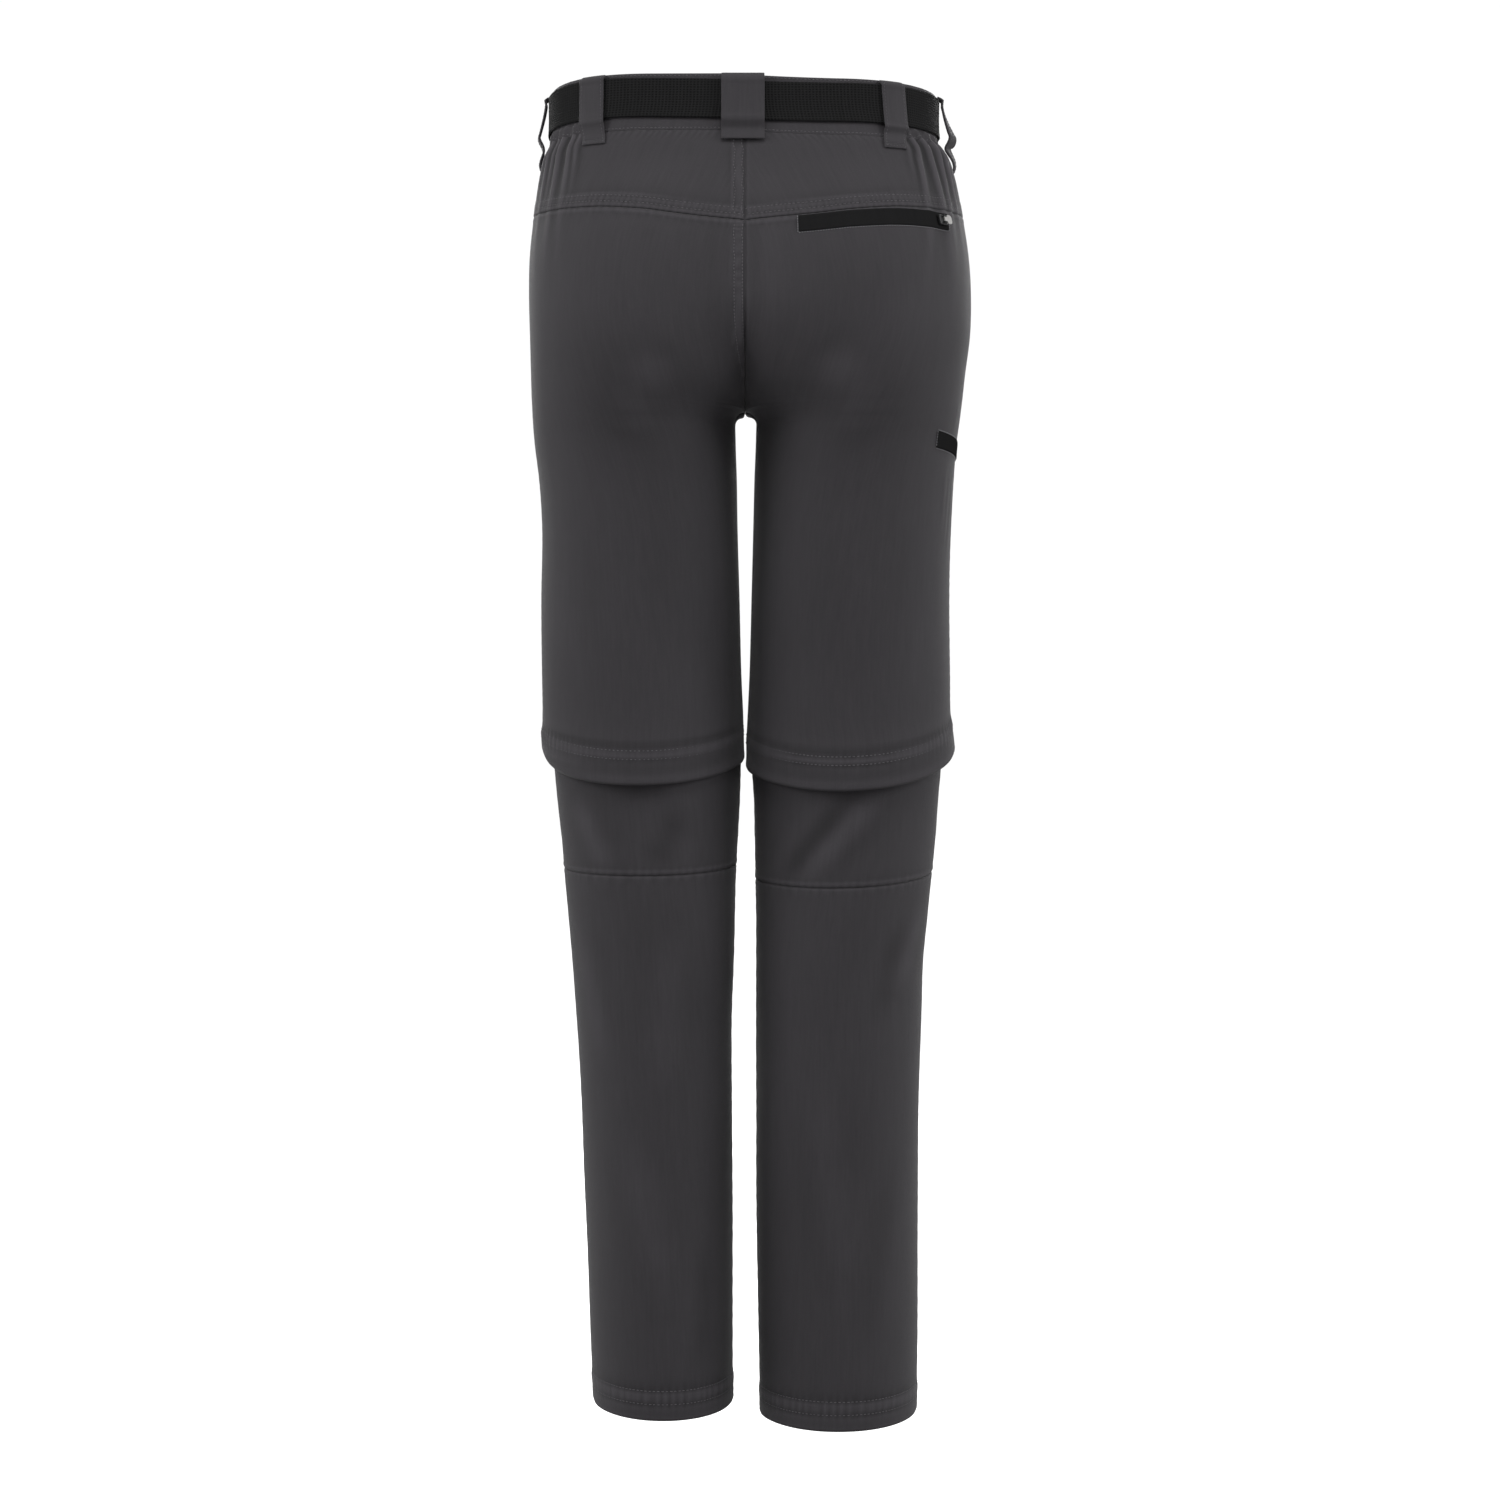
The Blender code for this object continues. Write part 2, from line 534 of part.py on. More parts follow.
def loop_places(side, face, x, width, lean, rows, share):
    """Places (u) across a loop at each of its rows. Away from the side seams it runs straight
    down, at a fixed distance from the centre plane; at a side seam it starts on the seam."""
    offsets = np.linspace(0.0, 1.0, 4) * width
    if x == 0.0:
        steps = np.linalg.norm(np.diff(surface(BODY, side, face, LOOP_SAMPLES, rows[4]), axis=0), axis=1)
        us = np.interp(offsets, np.concatenate([[0.0], np.cumsum(steps)]), LOOP_SAMPLES)
        return us + 0.0 * rows[:, None]
    places = []
    for height, part in zip(rows, share):
        xs = np.abs(surface(BODY, side, face, LOOP_SAMPLES, height)[:, 0])
        wanted = x + width / 2 - offsets + lean * part
        places.append(np.interp(-wanted, -xs, LOOP_SAMPLES))
    return np.array(places)


def build_loops():
    """Seven belt loops, each a strip from the top of the waistband to below it."""
    for name, side, face, x, width, bottom, stand_forward, stand_rear, lean in LOOP_ROWS:
        xs = np.abs(surface(BODY, side, face, LOOP_SAMPLES, 0.0)[:, 0])
        u = 0.0 if x == 0.0 else float(np.interp(-x, -xs, LOOP_SAMPLES))
        top = float(waistband_top(side, face, u))
        rows, share, distance = loop_rows(top, float(belt_top(side, face, u)), bottom)
        grid_u = loop_places(side, face, x, width, lean, rows, share)
        stand_off = np.linspace(stand_forward, stand_rear, grid_u.shape[1])
        if outward_order(side, face):
            grid_u, stand_off = grid_u[:, ::-1], stand_off[::-1]
        heights = rows[:, None] + 0.0 * grid_u
        bow = np.sin(np.pi * share ** SIDE_LOOP_SAG)[:, None] * stand_off
        flat = surface(BODY, side, face, grid_u, heights)
        crest = np.max(gather_crest(face, grid_u, heights), axis=1)
        lifted = flat + normals(flat) * ((distance + crest)[:, None] + bow)[..., None]
        sheet(name, lifted, "cloth", LOOP_WALL)

    rows, share, distance = loop_rows(waistband_top("left", "back", 1.0), belt_top("left", "back", 1.0),
                                      CENTRE_LOOP_BOTTOM)
    distance = distance + CENTRE_LOOP_STAND_OFF * np.sin(np.pi * share)
    xs = CENTRE_LOOP_X + np.linspace(-CENTRE_LOOP_WIDTH / 2, CENTRE_LOOP_WIDTH / 2, 5)
    heights = rows[:, None] + 0.0 * xs
    ys = (read(BODY, "z", "back", rows) + distance)[:, None] + 0.0 * xs
    sheet("belt_loop_centre_back", np.stack([xs + 0.0 * heights, ys, heights], axis=-1), "cloth",
          LOOP_WALL)


def round_outline(name, corners, thickness, finish, matrix):
    """A flat piece: a filled outline given half its thickness each way, made a mesh and welded."""
    curve = bpy.data.curves.new(name + "_outline", "CURVE")
    curve.dimensions = "2D"
    curve.fill_mode = "BOTH"
    curve.extrude = thickness * MM / 2
    spline = curve.splines.new("POLY")
    spline.points.add(len(corners) - 1)
    for point, (x, y) in zip(spline.points, corners):
        point.co = (x * MM, y * MM, 0.0, 1.0)
    spline.use_cyclic_u = True
    guide = bpy.data.objects.new(name + "_outline", curve)
    HELPERS.objects.link(guide)
    bpy.context.view_layer.update()
    mesh = bpy.data.meshes.new_from_object(guide.evaluated_get(bpy.context.evaluated_depsgraph_get()))
    bpy.data.objects.remove(guide)
    merged = bmesh.new()
    merged.from_mesh(mesh)
    bmesh.ops.remove_doubles(merged, verts=merged.verts, dist=1e-6)
    bmesh.ops.recalc_face_normals(merged, faces=merged.faces)
    merged.to_mesh(mesh)
    merged.free()
    obj = bpy.data.objects.new(name, mesh)
    place(obj, finish, PARTS)
    obj.matrix_world = matrix
    return obj


def arc_corners(cx, cy, radius, start, end, steps=4):
    angles = np.radians(np.linspace(start, end, steps))
    return [(cx + radius * math.cos(a), cy + radius * math.sin(a)) for a in angles]


def rounded_rectangle(width, height, radius):
    w, h = width / 2 - radius, height / 2 - radius
    return (arc_corners(w, h, radius, 0, 90) + arc_corners(-w, h, radius, 90, 180)
            + arc_corners(-w, -h, radius, 180, 270) + arc_corners(w, -h, radius, 270, 360))


def frame_at(points, row, column, lift, along):
    """World matrix on a surface grid: local x along the zip, local z outwards."""
    normal = Vector(normals(points)[row, column])
    step = Vector(points[row, column + 1] - points[row, column - 1])
    x_axis = (step - normal * step.dot(normal)).normalized() * along
    y_axis = normal.cross(x_axis)
    origin = (Vector(points[row, column]) + normal * lift) * MM
    rotation = Matrix((x_axis, y_axis, normal)).transposed().to_4x4()
    return Matrix.Translation(origin) @ rotation


def box(name, size, centre, matrix, collection, bevel=0.0):
    """A box from a primitive cube, its edges rounded."""
    bpy.ops.mesh.primitive_cube_add(size=1.0)
    obj = bpy.context.active_object
    obj.name = name
    scale = Matrix.Diagonal((*(v * MM for v in size), 1.0))
    obj.data.transform(Matrix.Translation(Vector(centre) * MM) @ scale)
    place(obj, "black_metal", collection)
    obj.matrix_world = matrix
    if bevel:
        edge = obj.modifiers.new("edges", "BEVEL")
        edge.width = bevel * MM
        edge.segments = 2
    return obj


def zip_pull(prefix, matrix):
    """Slider with two lugs, and the pull tab that turns between them on its own axis."""
    thick = SLIDER_SIZE[2]
    body = box(prefix + "_slider", SLIDER_SIZE, (0, 0, thick / 2), matrix, PARTS, bevel=SLIDER_EDGE)
    for sign in (-1, 1):
        centre = (0, sign * (TAB_ROOT_WIDTH / 2 + SEAM_GAP + LUG_SIZE[1] / 2),
                  thick - LUG_SINK + LUG_SIZE[2] / 2)
        lug = box(f"{prefix}_lug_{'low' if sign < 0 else 'high'}", LUG_SIZE, centre, matrix, HELPERS)
        lug.hide_render = True
        lug.display_type = "WIRE"
        join = body.modifiers.new("lug", "BOOLEAN")
        join.operation = "UNION"
        join.object = lug
    root, half = TAB_ROOT_WIDTH / 2, TAB_WIDTH / 2
    narrow, wide = TAB_SHOULDER
    corners = [(-TAB_TAIL, -root), (narrow, -root), (wide, -half)]
    corners += arc_corners(TAB_LENGTH - TAB_CORNER, -half + TAB_CORNER, TAB_CORNER, -90, 0)
    corners += arc_corners(TAB_LENGTH - TAB_CORNER, half - TAB_CORNER, TAB_CORNER, 0, 90)
    corners += [(wide, half), (narrow, root), (-TAB_TAIL, root)]
    axis = matrix @ Matrix.Translation((0, 0, (thick + PIN_HEIGHT) * MM))
    round_outline(prefix + "_pull", corners, TAB_WALL, "bright_metal", axis)


def build_pockets():
    """Zip bands on the wearer's right, at the back under the yoke and round the outer thigh."""
    us = np.linspace(*BACK_ZIP_U, ZIP_COLUMNS)
    drop = BACK_ZIP_DROP + BACK_ZIP_OUTER_DROP * np.linspace(1.0, 0.0, ZIP_COLUMNS) ** 2
    heights = yoke_line(us) - drop - BACK_ZIP_WIDTH * np.array([0.0, 0.5, 1.0])[:, None]
    flat = surface(BODY, "right", "back", np.broadcast_to(us, heights.shape), heights)
    band = flat + normals(flat) * (BAND_CLEARANCE + TAPE_WALL)
    sheet("back_pocket_zip", band, "zip_tape", TAPE_WALL)
    zip_pull("back_pocket", frame_at(band, 1, 1, SEAM_GAP, -1.0))

    half = (ZIP_COLUMNS + 1) // 2
    front_us = np.linspace(THIGH_ZIP_FRONT_U, 0.0, half)
    back_us = np.linspace(0.0, THIGH_ZIP_BACK_U, half)
    middle = np.linspace(THIGH_ZIP_Z[1], THIGH_ZIP_Z[0], ZIP_COLUMNS)
    heights = middle + THIGH_ZIP_WIDTH * np.array([0.5, 0.0, -0.5])[:, None]
    front = surface(BODY, "right", "front", front_us, heights[:, :half])
    back = surface(BODY, "right", "back", back_us, heights[:, half - 1:])
    flat = np.concatenate([front, back[:, 1:]], axis=1)
    band = flat + normals(flat) * (BAND_CLEARANCE + TAPE_WALL)
    sheet("thigh_pocket_zip", band, "zip_tape", TAPE_WALL)
    zip_pull("thigh_pocket", frame_at(band, 1, 1, SEAM_GAP, -1.0))


def build_front():
    """Fly placket, waistband snap and belt buckle."""
    across = np.array([0.0, 0.3, 0.6, 0.85, 1.0])
    top = waistband_bottom("left", "front", 1.0) - SEAM_GAP - FLY_TOP_CLEARANCE
    length = top - FLY_BOTTOM
    down = np.linspace(0.0, length, 12)[:, None]
    into_curve = np.clip((down - length + FLY_CURVE) / FLY_CURVE, 0.0, 0.98)
    taper = np.sqrt(1.0 - into_curve ** 2)
    xs = HALF_GAP + (FLY_WIDTH - HALF_GAP) * across * taper
    heights = top - down + 0.0 * xs
    inner = inner_x(BODY, "left", heights)
    peak = middle_x(BODY, "left", heights)
    us = 0.5 + np.arcsin(np.clip((peak - xs) / (peak - inner), 0.0, 1.0)) / np.pi
    flat = surface(BODY, "left", "front", us, heights)[:, ::-1]
    fly = flat + normals(flat) * (FLY_CLEARANCE + WALL)
    sheet("fly_placket", fly, "cloth", WALL)

    upper = Vector((0.0, float(read(BODY, "z", "mid_front", BELT_FRONT_TOP)), BELT_FRONT_TOP))
    lower = Vector((0.0, float(read(BODY, "z", "mid_front", BELT_FRONT_BOTTOM)), BELT_FRONT_BOTTOM))
    outward = Vector((1.0, 0.0, 0.0)).cross(upper - lower).normalized()
    seat = (upper + lower) / 2 + outward * (SEAM_GAP + SNAP_HEIGHT / 2)
    bpy.ops.mesh.primitive_cylinder_add(vertices=24, radius=SNAP_RADIUS * MM,
                                        depth=SNAP_HEIGHT * MM, location=seat * MM,
                                        rotation=outward.to_track_quat("Z", "Y").to_euler())
    snap = bpy.context.active_object
    snap.name = "waist_snap"
    place(snap, "black_metal", PARTS)

    belt_face = float(read(BODY, "z", "mid_front", BELT_FRONT_BOTTOM)) - SEAM_GAP - BELT_WALL
    plate_y = belt_face - BELT_RISE - SEAM_GAP - BUCKLE_WALL / 2
    turn_to_front = Matrix.Rotation(math.pi / 2, 4, "X")
    centre = Matrix.Translation((0.0, plate_y * MM, BUCKLE_Z * MM))
    round_outline("belt_buckle", rounded_rectangle(*BUCKLE_SIZE, 3.0), BUCKLE_WALL, "black_metal",
                  centre @ turn_to_front)


for old in list(bpy.data.objects):
    bpy.data.objects.remove(old)
PARTS = bpy.data.collections.new("zip_off_trousers")
HELPERS = bpy.data.collections.new("cutters")
bpy.context.scene.collection.children.link(PARTS)
bpy.context.scene.collection.children.link(HELPERS)

for half in ("left", "right"):
    build_body(half)
    build_leg(half)
build_waist()
build_loops()
build_pockets()
build_front()
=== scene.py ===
# %% [markdown]
# # Convertible zip-off trousers
# Charcoal stretch-woven trousers in the shape they keep on a standing figure, seen from behind.
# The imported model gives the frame: where every piece is and which body it rides on. This script
# gives each piece its look: fine cloth shells with gathers, creases and sewn edges, thread
# stitches, woven webbing, zips and small metal parts. Lengths are millimetres until a mesh is made.

# %% Load the frame
import math

import bpy
import numpy as np
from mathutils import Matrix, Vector


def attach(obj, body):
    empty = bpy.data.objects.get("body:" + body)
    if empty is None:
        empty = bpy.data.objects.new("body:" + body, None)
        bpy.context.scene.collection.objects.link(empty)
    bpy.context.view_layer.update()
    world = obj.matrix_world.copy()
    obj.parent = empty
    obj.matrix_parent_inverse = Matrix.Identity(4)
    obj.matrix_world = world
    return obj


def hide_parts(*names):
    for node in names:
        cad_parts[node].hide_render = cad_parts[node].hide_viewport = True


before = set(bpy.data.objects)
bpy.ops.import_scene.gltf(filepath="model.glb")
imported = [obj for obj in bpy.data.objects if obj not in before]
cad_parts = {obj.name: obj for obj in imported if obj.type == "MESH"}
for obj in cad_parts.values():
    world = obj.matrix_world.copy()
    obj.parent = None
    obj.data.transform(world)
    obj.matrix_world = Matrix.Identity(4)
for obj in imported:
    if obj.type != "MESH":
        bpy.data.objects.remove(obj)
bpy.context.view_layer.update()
MM = 0.001

# %% [markdown]
# ## The cut
# A half section at any height runs from the side seam to a peak at the back or the front, then to
# the centre seam above the fork, or to the inseam below it. A table row per height gives its
# widths and depths, and a smooth curve is read through each column. The same few numbers shape
# the solids, so every shell lies on its solid.

# %% Tables of the cut
HALF_GAP = 0.03
WALL = 1.2
FORK_Z = -245.0
FORK_RADIUS = 8.0
TURN_START = {"back": -165.0, "front": -185.0}
SIDE_SIGN = {"left": 1.0, "right": -1.0}
FACE_SIGN = {"back": 1.0, "front": -1.0}
TRUNK_POWER = 2.3
LEG_POWER = 2.06
POWER_HEIGHTS = (-165.0, -330.0)
SOFT_TURN = 17.0
SOFT_STEPS = (-13.0, -9.0, -5.0, -1.5, 1.5, 5.0, 9.0, 13.0)
COLUMNS = ("z", "out_left", "out_right", "in_left", "in_right", "side_y", "back", "front",
           "mid_back", "mid_front", "inseam_y", "peak")
BODY_ROWS = (
    (4, 151.0, 149.5, 0.0, 0.0, -10, 96.0, -96.0, 95.0, -95.5, 10, 0.46),
    (-30, 151.3, 149.8, 0.0, 0.0, -10, 98.5, -99.0, 97.5, -98.5, 10, 0.46),
    (-42, 152.5, 151.5, 0.0, 0.0, -10, 101.0, -101.0, 100.0, -100.5, 10, 0.46),
    (-51, 157.0, 159.0, 0.0, 0.0, -10, 104.0, -103.5, 103.0, -103.0, 10, 0.46),
    (-62, 159.6, 163.0, 0.0, 0.0, -9, 107.5, -106.0, 106.0, -105.5, 10, 0.46),
    (-95, 164.6, 169.8, 0.0, 0.0, -8, 121.0, -111.0, 119.0, -110.0, 10, 0.46),
    (-125, 167.7, 173.9, 0.0, 0.0, -7, 131.0, -113.0, 127.5, -112.0, 10, 0.46),
    (-156, 168.5, 175.5, 0.0, 0.0, -6, 136.5, -113.5, 131.5, -112.0, 10, 0.46),
    (-187, 167.9, 174.7, 0.0, 0.0, -4, 137.0, -112.0, 132.0, -110.0, 10, 0.47),
    (-218, 166.9, 170.8, 0.0, 0.0, -2, 132.0, -109.0, 129.0, -107.0, 10, 0.48),
    (-245, 165.4, 167.7, 7.2, 8.2, 0, 124.0, -105.0, 122.0, -103.0, 10, 0.50),
    (-265, 163.8, 164.6, 7.0, 8.2, 0, 117.0, -101.0, 115.0, -100.0, 10, 0.50),
    (-297, 159.9, 162.2, 6.0, 7.0, 0, 109.0, -97.0, 107.0, -96.0, 9, 0.50),
    (-330, 157.6, 160.7, 5.5, 6.2, 0, 103.5, -94.0, 102.0, -93.0, 8, 0.50),
    (-390, 157.6, 159.1, 3.9, 4.7, 0, 97.0, -90.0, 95.0, -89.0, 7, 0.50),
    (-450, 157.6, 159.7, 2.4, 3.1, 0, 92.5, -87.0, 91.0, -86.0, 6, 0.50),
    (-484, 157.6, 160.7, 0.9, 1.5, 0, 91.0, -86.0, 90.0, -85.0, 5, 0.50),
    (-500, 158.2, 163.0, 0.5, 0.7, 0, 91.0, -86.5, 90.0, -85.0, 5, 0.50),
    (-516, 158.0, 163.5, 0.5, 0.7, 0, 91.5, -87.0, 90.0, -86.0, 5, 0.50),
    (-542, 157.5, 163.0, 0.6, 0.8, 0, 92.0, -87.5, 91.0, -86.0, 5, 0.50),
)
LEG_ROWS = (
    (-480, 150.0, 154.2, 3.0, 4.4, 0, 84.5, -79.0, 84, -79, 5, 0.50),
    (-515, 148.6, 152.9, 3.1, 5.0, 0, 84.0, -79.0, 84, -79, 5, 0.50),
    (-546, 145.9, 149.8, 3.9, 7.0, 0, 82.5, -79.5, 82, -79, 4, 0.50),
    (-577, 142.7, 147.4, 5.5, 7.6, 0, 81.0, -80.0, 81, -80, 4, 0.50),
    (-608, 140.4, 144.3, 7.0, 8.1, 0, 80.0, -80.0, 80, -80, 3, 0.50),
    (-640, 137.3, 141.2, 7.8, 8.6, 0, 79.5, -79.0, 79, -79, 3, 0.50),
    (-671, 134.2, 138.1, 8.6, 8.6, 0, 79.5, -77.0, 79, -77, 3, 0.50),
    (-710, 131.2, 137.0, 10.1, 8.6, 0, 80.0, -75.0, 80, -75, 2, 0.50),
    (-780, 127.1, 135.7, 10.1, 8.6, 0, 80.0, -74.0, 80, -74, 2, 0.50),
    (-858, 124.0, 134.9, 9.4, 8.6, 0, 79.0, -73.0, 79, -73, 2, 0.50),
    (-936, 120.9, 134.6, 9.4, 10.1, 0, 78.0, -72.5, 78, -72, 2, 0.50),
    (-1000, 117.8, 133.0, 9.4, 11.4, 0, 77.5, -72.5, 77, -72, 2, 0.50),
    (-1026, 116.6, 132.4, 9.4, 11.8, 0, 77.5, -72.5, 77, -72, 2, 0.50),
)
YOKE_ROWS = ((0, -93), (0.18, -98), (0.3, -99.5), (0.4, -101), (0.5, -103.5), (0.62, -107),
             (0.78, -110.3), (1, -112.6))
# Lines across a leg: height at the side seam, at the inseam, hang of the middle back and front
FLAP_EDGE = {"left": (-515.5, -514.0, 19.0, 6.0), "right": (-508.5, -520.5, 23.5, 6.0)}
KNEE_SEAM = {"left": (-598.0, -596.0, 5.5, 0.0), "right": (-601.0, -607.0, 7.7, 0.0)}
HEM_LINE = {"left": (-1011.0, -1012.5, 4.2, 0.0), "right": (-1020.0, -1021.5, 3.4, 0.0)}
FLAP_OVERLAP = 6.0
ZIP_TAPE_WIDTH = 18.0
FLAP_CURL = {"left": 6.0, "right": 0.6}
FLAP_CURL_HEIGHT = 14.0
WAISTBAND_WIDTH = 43.5
BELT_WIDTH = 30.0
# How far the waist dips between the side and the centre
WAIST_DIP = {("right", "back"): 4.2}


def table(columns, rows):
    """A table as named arrays, in rising order of its first column."""
    values = np.array(sorted(rows), dtype=float)
    return {name: values[:, k] for k, name in enumerate(columns)}


BODY = table(COLUMNS, BODY_ROWS)
LEG = table(COLUMNS, LEG_ROWS)
YOKE = table(("u", "z"), YOKE_ROWS)

# %% Surface of the cut


def read(data, key, name, at):
    """Smooth curve through a column: cubic pieces whose slopes come from the neighbours."""
    xs, ys = data[key], data[name]
    at = np.asarray(at, dtype=float)
    slopes = np.gradient(ys, xs)
    k = np.clip(np.searchsorted(xs, at, side="right") - 1, 0, len(xs) - 2)
    span = xs[k + 1] - xs[k]
    t = np.clip((at - xs[k]) / span, 0.0, 1.0)
    start = (1 + 2 * t) * (1 - t) ** 2 * ys[k] + t * (1 - t) ** 2 * span * slopes[k]
    end = t * t * (3 - 2 * t) * ys[k + 1] + t * t * (t - 1) * span * slopes[k + 1]
    return start + end


def ease(t):
    """3t^2 - 2t^3, held at 0 and 1 outside that range."""
    t = np.clip(t, 0.0, 1.0)
    return t * t * (3 - 2 * t)


def hump(distance, width):
    """Soft bell: e to the minus (distance / width) squared."""
    return np.exp(-(distance / width) ** 2)


def line(curve, face, u):
    """Height of a line across a leg: straight from side to inseam, less a sine for its hang."""
    side, inner, back_dip, front_dip = curve
    dip = back_dip if face == "back" else front_dip
    return side + (inner - side) * u - dip * np.sin(np.pi * np.clip(u, 0, 1)) ** 1.2


def inner_x(data, side, z):
    """Inner edge: the centre plane, then a quarter round arch at the fork, then the inseam."""
    below = np.clip(FORK_Z - z, 0.0, FORK_RADIUS)
    arch = np.sqrt(FORK_RADIUS ** 2 - (FORK_RADIUS - below) ** 2) / FORK_RADIUS
    leg = np.maximum(read(data, "z", "in_" + side, np.minimum(z, FORK_Z)), HALF_GAP)
    return HALF_GAP + (leg - HALF_GAP) * arch


def middle_x(data, side, z):
    """Where a section peaks: a share of its width, moved out as the legs part."""
    share = read(data, "z", "peak", z)
    parted = ease((TURN_START["back"] - z) / (1.3 * (TURN_START["back"] - FORK_Z)))
    inside = read(data, "z", "in_" + side, np.minimum(z, FORK_Z)) * parted
    return inside + share * (read(data, "z", "out_" + side, z) - inside)


def section(data, side, face, u, z):
    """Half section: a superellipse from side seam to peak, an ellipse from peak to inner edge."""
    out = read(data, "z", "out_" + side, z)
    inner = inner_x(data, side, z)
    peak_x = middle_x(data, side, z)
    trunk_share = ease((z - POWER_HEIGHTS[1]) / (POWER_HEIGHTS[0] - POWER_HEIGHTS[1]))
    power = LEG_POWER + (TRUNK_POWER - LEG_POWER) * trunk_share
    side_y = read(data, "z", "side_y", z)
    peak_y = read(data, "z", face, z)
    start = TURN_START[face]
    share = np.clip((start - z) / (start - FORK_Z), 0.0, 1.0)
    inseam = read(data, "z", "inseam_y", z)
    inner_y = inseam + (read(data, "z", "mid_" + face, z) - inseam) * np.sqrt(1.0 - share ** 2)
    outer_angle = np.clip(u / 0.5, 0.0, 1.0) * np.pi / 2
    inner_angle = np.clip((u - 0.5) / 0.5, 0.0, 1.0) * np.pi / 2
    outer_x = peak_x + (out - peak_x) * np.abs(np.cos(outer_angle)) ** (2 / power)
    outer_y = side_y + (peak_y - side_y) * np.abs(np.sin(outer_angle)) ** (2 / power)
    x = np.where(u <= 0.5, outer_x, peak_x - (peak_x - inner) * np.sin(inner_angle))
    y = np.where(u <= 0.5, outer_y, inner_y
                 + (peak_y - inner_y) * np.abs(np.cos(inner_angle)) ** (2.0 / (1.0 + share)))
    return SIDE_SIGN[side] * x, y


def surface(data, side, face, u, z):
    """The section at a height; beside the fork it is a mean over nearby heights, so that the seat
    turns softly into the leg. The sewn inner edge itself keeps its place."""
    u, z = np.broadcast_arrays(np.asarray(u, float), np.asarray(z, float))
    x, y = section(data, side, face, u, z)
    soft = hump(z - FORK_Z, SOFT_TURN) * (data is BODY)
    if np.any(soft > 0.01):
        nearby = np.mean([section(data, side, face, u, z + step) for step in SOFT_STEPS], axis=0)
        x = x + soft * ease((1.0 - u) / 0.2) * (nearby[0] - x)
        y = y + soft * ease((1.0 - u) / 0.06) * (nearby[1] - y)
    return np.stack([x, y, z], axis=-1)


def outward(side, face):
    """-1 where the order of u and z gives normals that point into the cloth."""
    return -1.0 if (side == "left") == (face == "back") else 1.0


def surface_normal(data, side, face, u, z):
    """Unit normal from two short steps on the surface, one along u and one down."""
    du, dz = 0.004, 0.8
    u_low, u_high = np.clip(u - du, 0.002, 0.996), np.clip(u + du, 0.004, 0.998)
    across = surface(data, side, face, u_high, z) - surface(data, side, face, u_low, z)
    down = surface(data, side, face, np.clip(u, 0.002, 0.998), z - dz)
    down = down - surface(data, side, face, np.clip(u, 0.002, 0.998), z + dz)
    cross = np.cross(across, down) * outward(side, face)
    return cross / np.maximum(np.linalg.norm(cross, axis=-1, keepdims=True), 1e-9)


# %% Distance round the cloth
ARC_US = np.linspace(0.0, 1.0, 193)
ARC_STEP = 4.0
arc_tables = {}


def arc_table(data, side, face):
    """Length along the cloth from the side seam, for rows of heights and columns of u."""
    key = (id(data), side, face)
    if key not in arc_tables:
        zs = np.arange(data["z"][0] - 8, data["z"][-1] + 8, ARC_STEP)
        points = surface(data, side, face, ARC_US[None, :], zs[:, None])
        steps = np.linalg.norm(np.diff(points, axis=1), axis=-1)
        lengths = np.concatenate([np.zeros((len(zs), 1)), np.cumsum(steps, axis=1)], axis=1)
        arc_tables[key] = (zs, lengths)
    return arc_tables[key]


def arc(data, side, face, u, z):
    """Reads the arc table between its rows and columns."""
    zs, lengths = arc_table(data, side, face)
    row = np.clip((z - zs[0]) / ARC_STEP, 0, len(zs) - 1.001)
    column = np.clip(u, 0, 1) * (len(ARC_US) - 1.001)
    r, c = row.astype(int), column.astype(int)
    fr, fc = row - r, column - c
    top = lengths[r, c] * (1 - fc) + lengths[r, c + 1] * fc
    low = lengths[r + 1, c] * (1 - fc) + lengths[r + 1, c + 1] * fc
    return top * (1 - fr) + low * fr


def u_at(data, side, face, z, distance):
    """The u that lies this far along the cloth from the side seam at one height."""
    zs, lengths = arc_table(data, side, face)
    row = lengths[int(np.clip(round((z - zs[0]) / ARC_STEP), 0, len(zs) - 1))]
    return np.interp(distance, row, ARC_US)


print("half girth at the hip:", round(float(arc(BODY, "left", "back", np.array(1.0),
                                                np.array(-156.0))), 1), "mm")

# %% [markdown]
# ## Woven finishes
# Cloth, webbing and zip tape are all woven, at different scales, so one node group makes the
# weave: two crossed waves along the piece's own UV map, which is in metres of cloth. It puts out
# a height for a Bump node and a mask of thread to gap; the materials darken the gaps as painted
# shade between the threads. A second group gives the soft, uneven tone of dyed yarn. Where a piece
# carries fold values on its points, they add painted shade in troughs and painted light on ridges.
# Each material keeps its own shader and sets its own values on it.

# %% Node helpers


def socket_group(name, inputs, outputs):
    """A shader group with named float inputs and outputs, and its two end nodes."""
    tree = bpy.data.node_groups.new(name, "ShaderNodeTree")
    for label, value in inputs:
        kind = "NodeSocketVector" if value is None else "NodeSocketFloat"
        socket = tree.interface.new_socket(label, in_out="INPUT", socket_type=kind)
        if value is not None:
            socket.default_value = value
    for label in outputs:
        tree.interface.new_socket(label, in_out="OUTPUT", socket_type="NodeSocketFloat")
    return tree, tree.nodes.new("NodeGroupInput"), tree.nodes.new("NodeGroupOutput")


def math_node(tree, operation, a, b=None, c=None):
    """A Math node; each argument is a socket or a number."""
    node = tree.nodes.new("ShaderNodeMath")
    node.operation = operation
    for slot, value in enumerate((a, b, c)):
        if value is None:
            continue
        if hasattr(value, "is_linked"):
            tree.links.new(value, node.inputs[slot])
        else:
            node.inputs[slot].default_value = value
    return node.outputs[0]


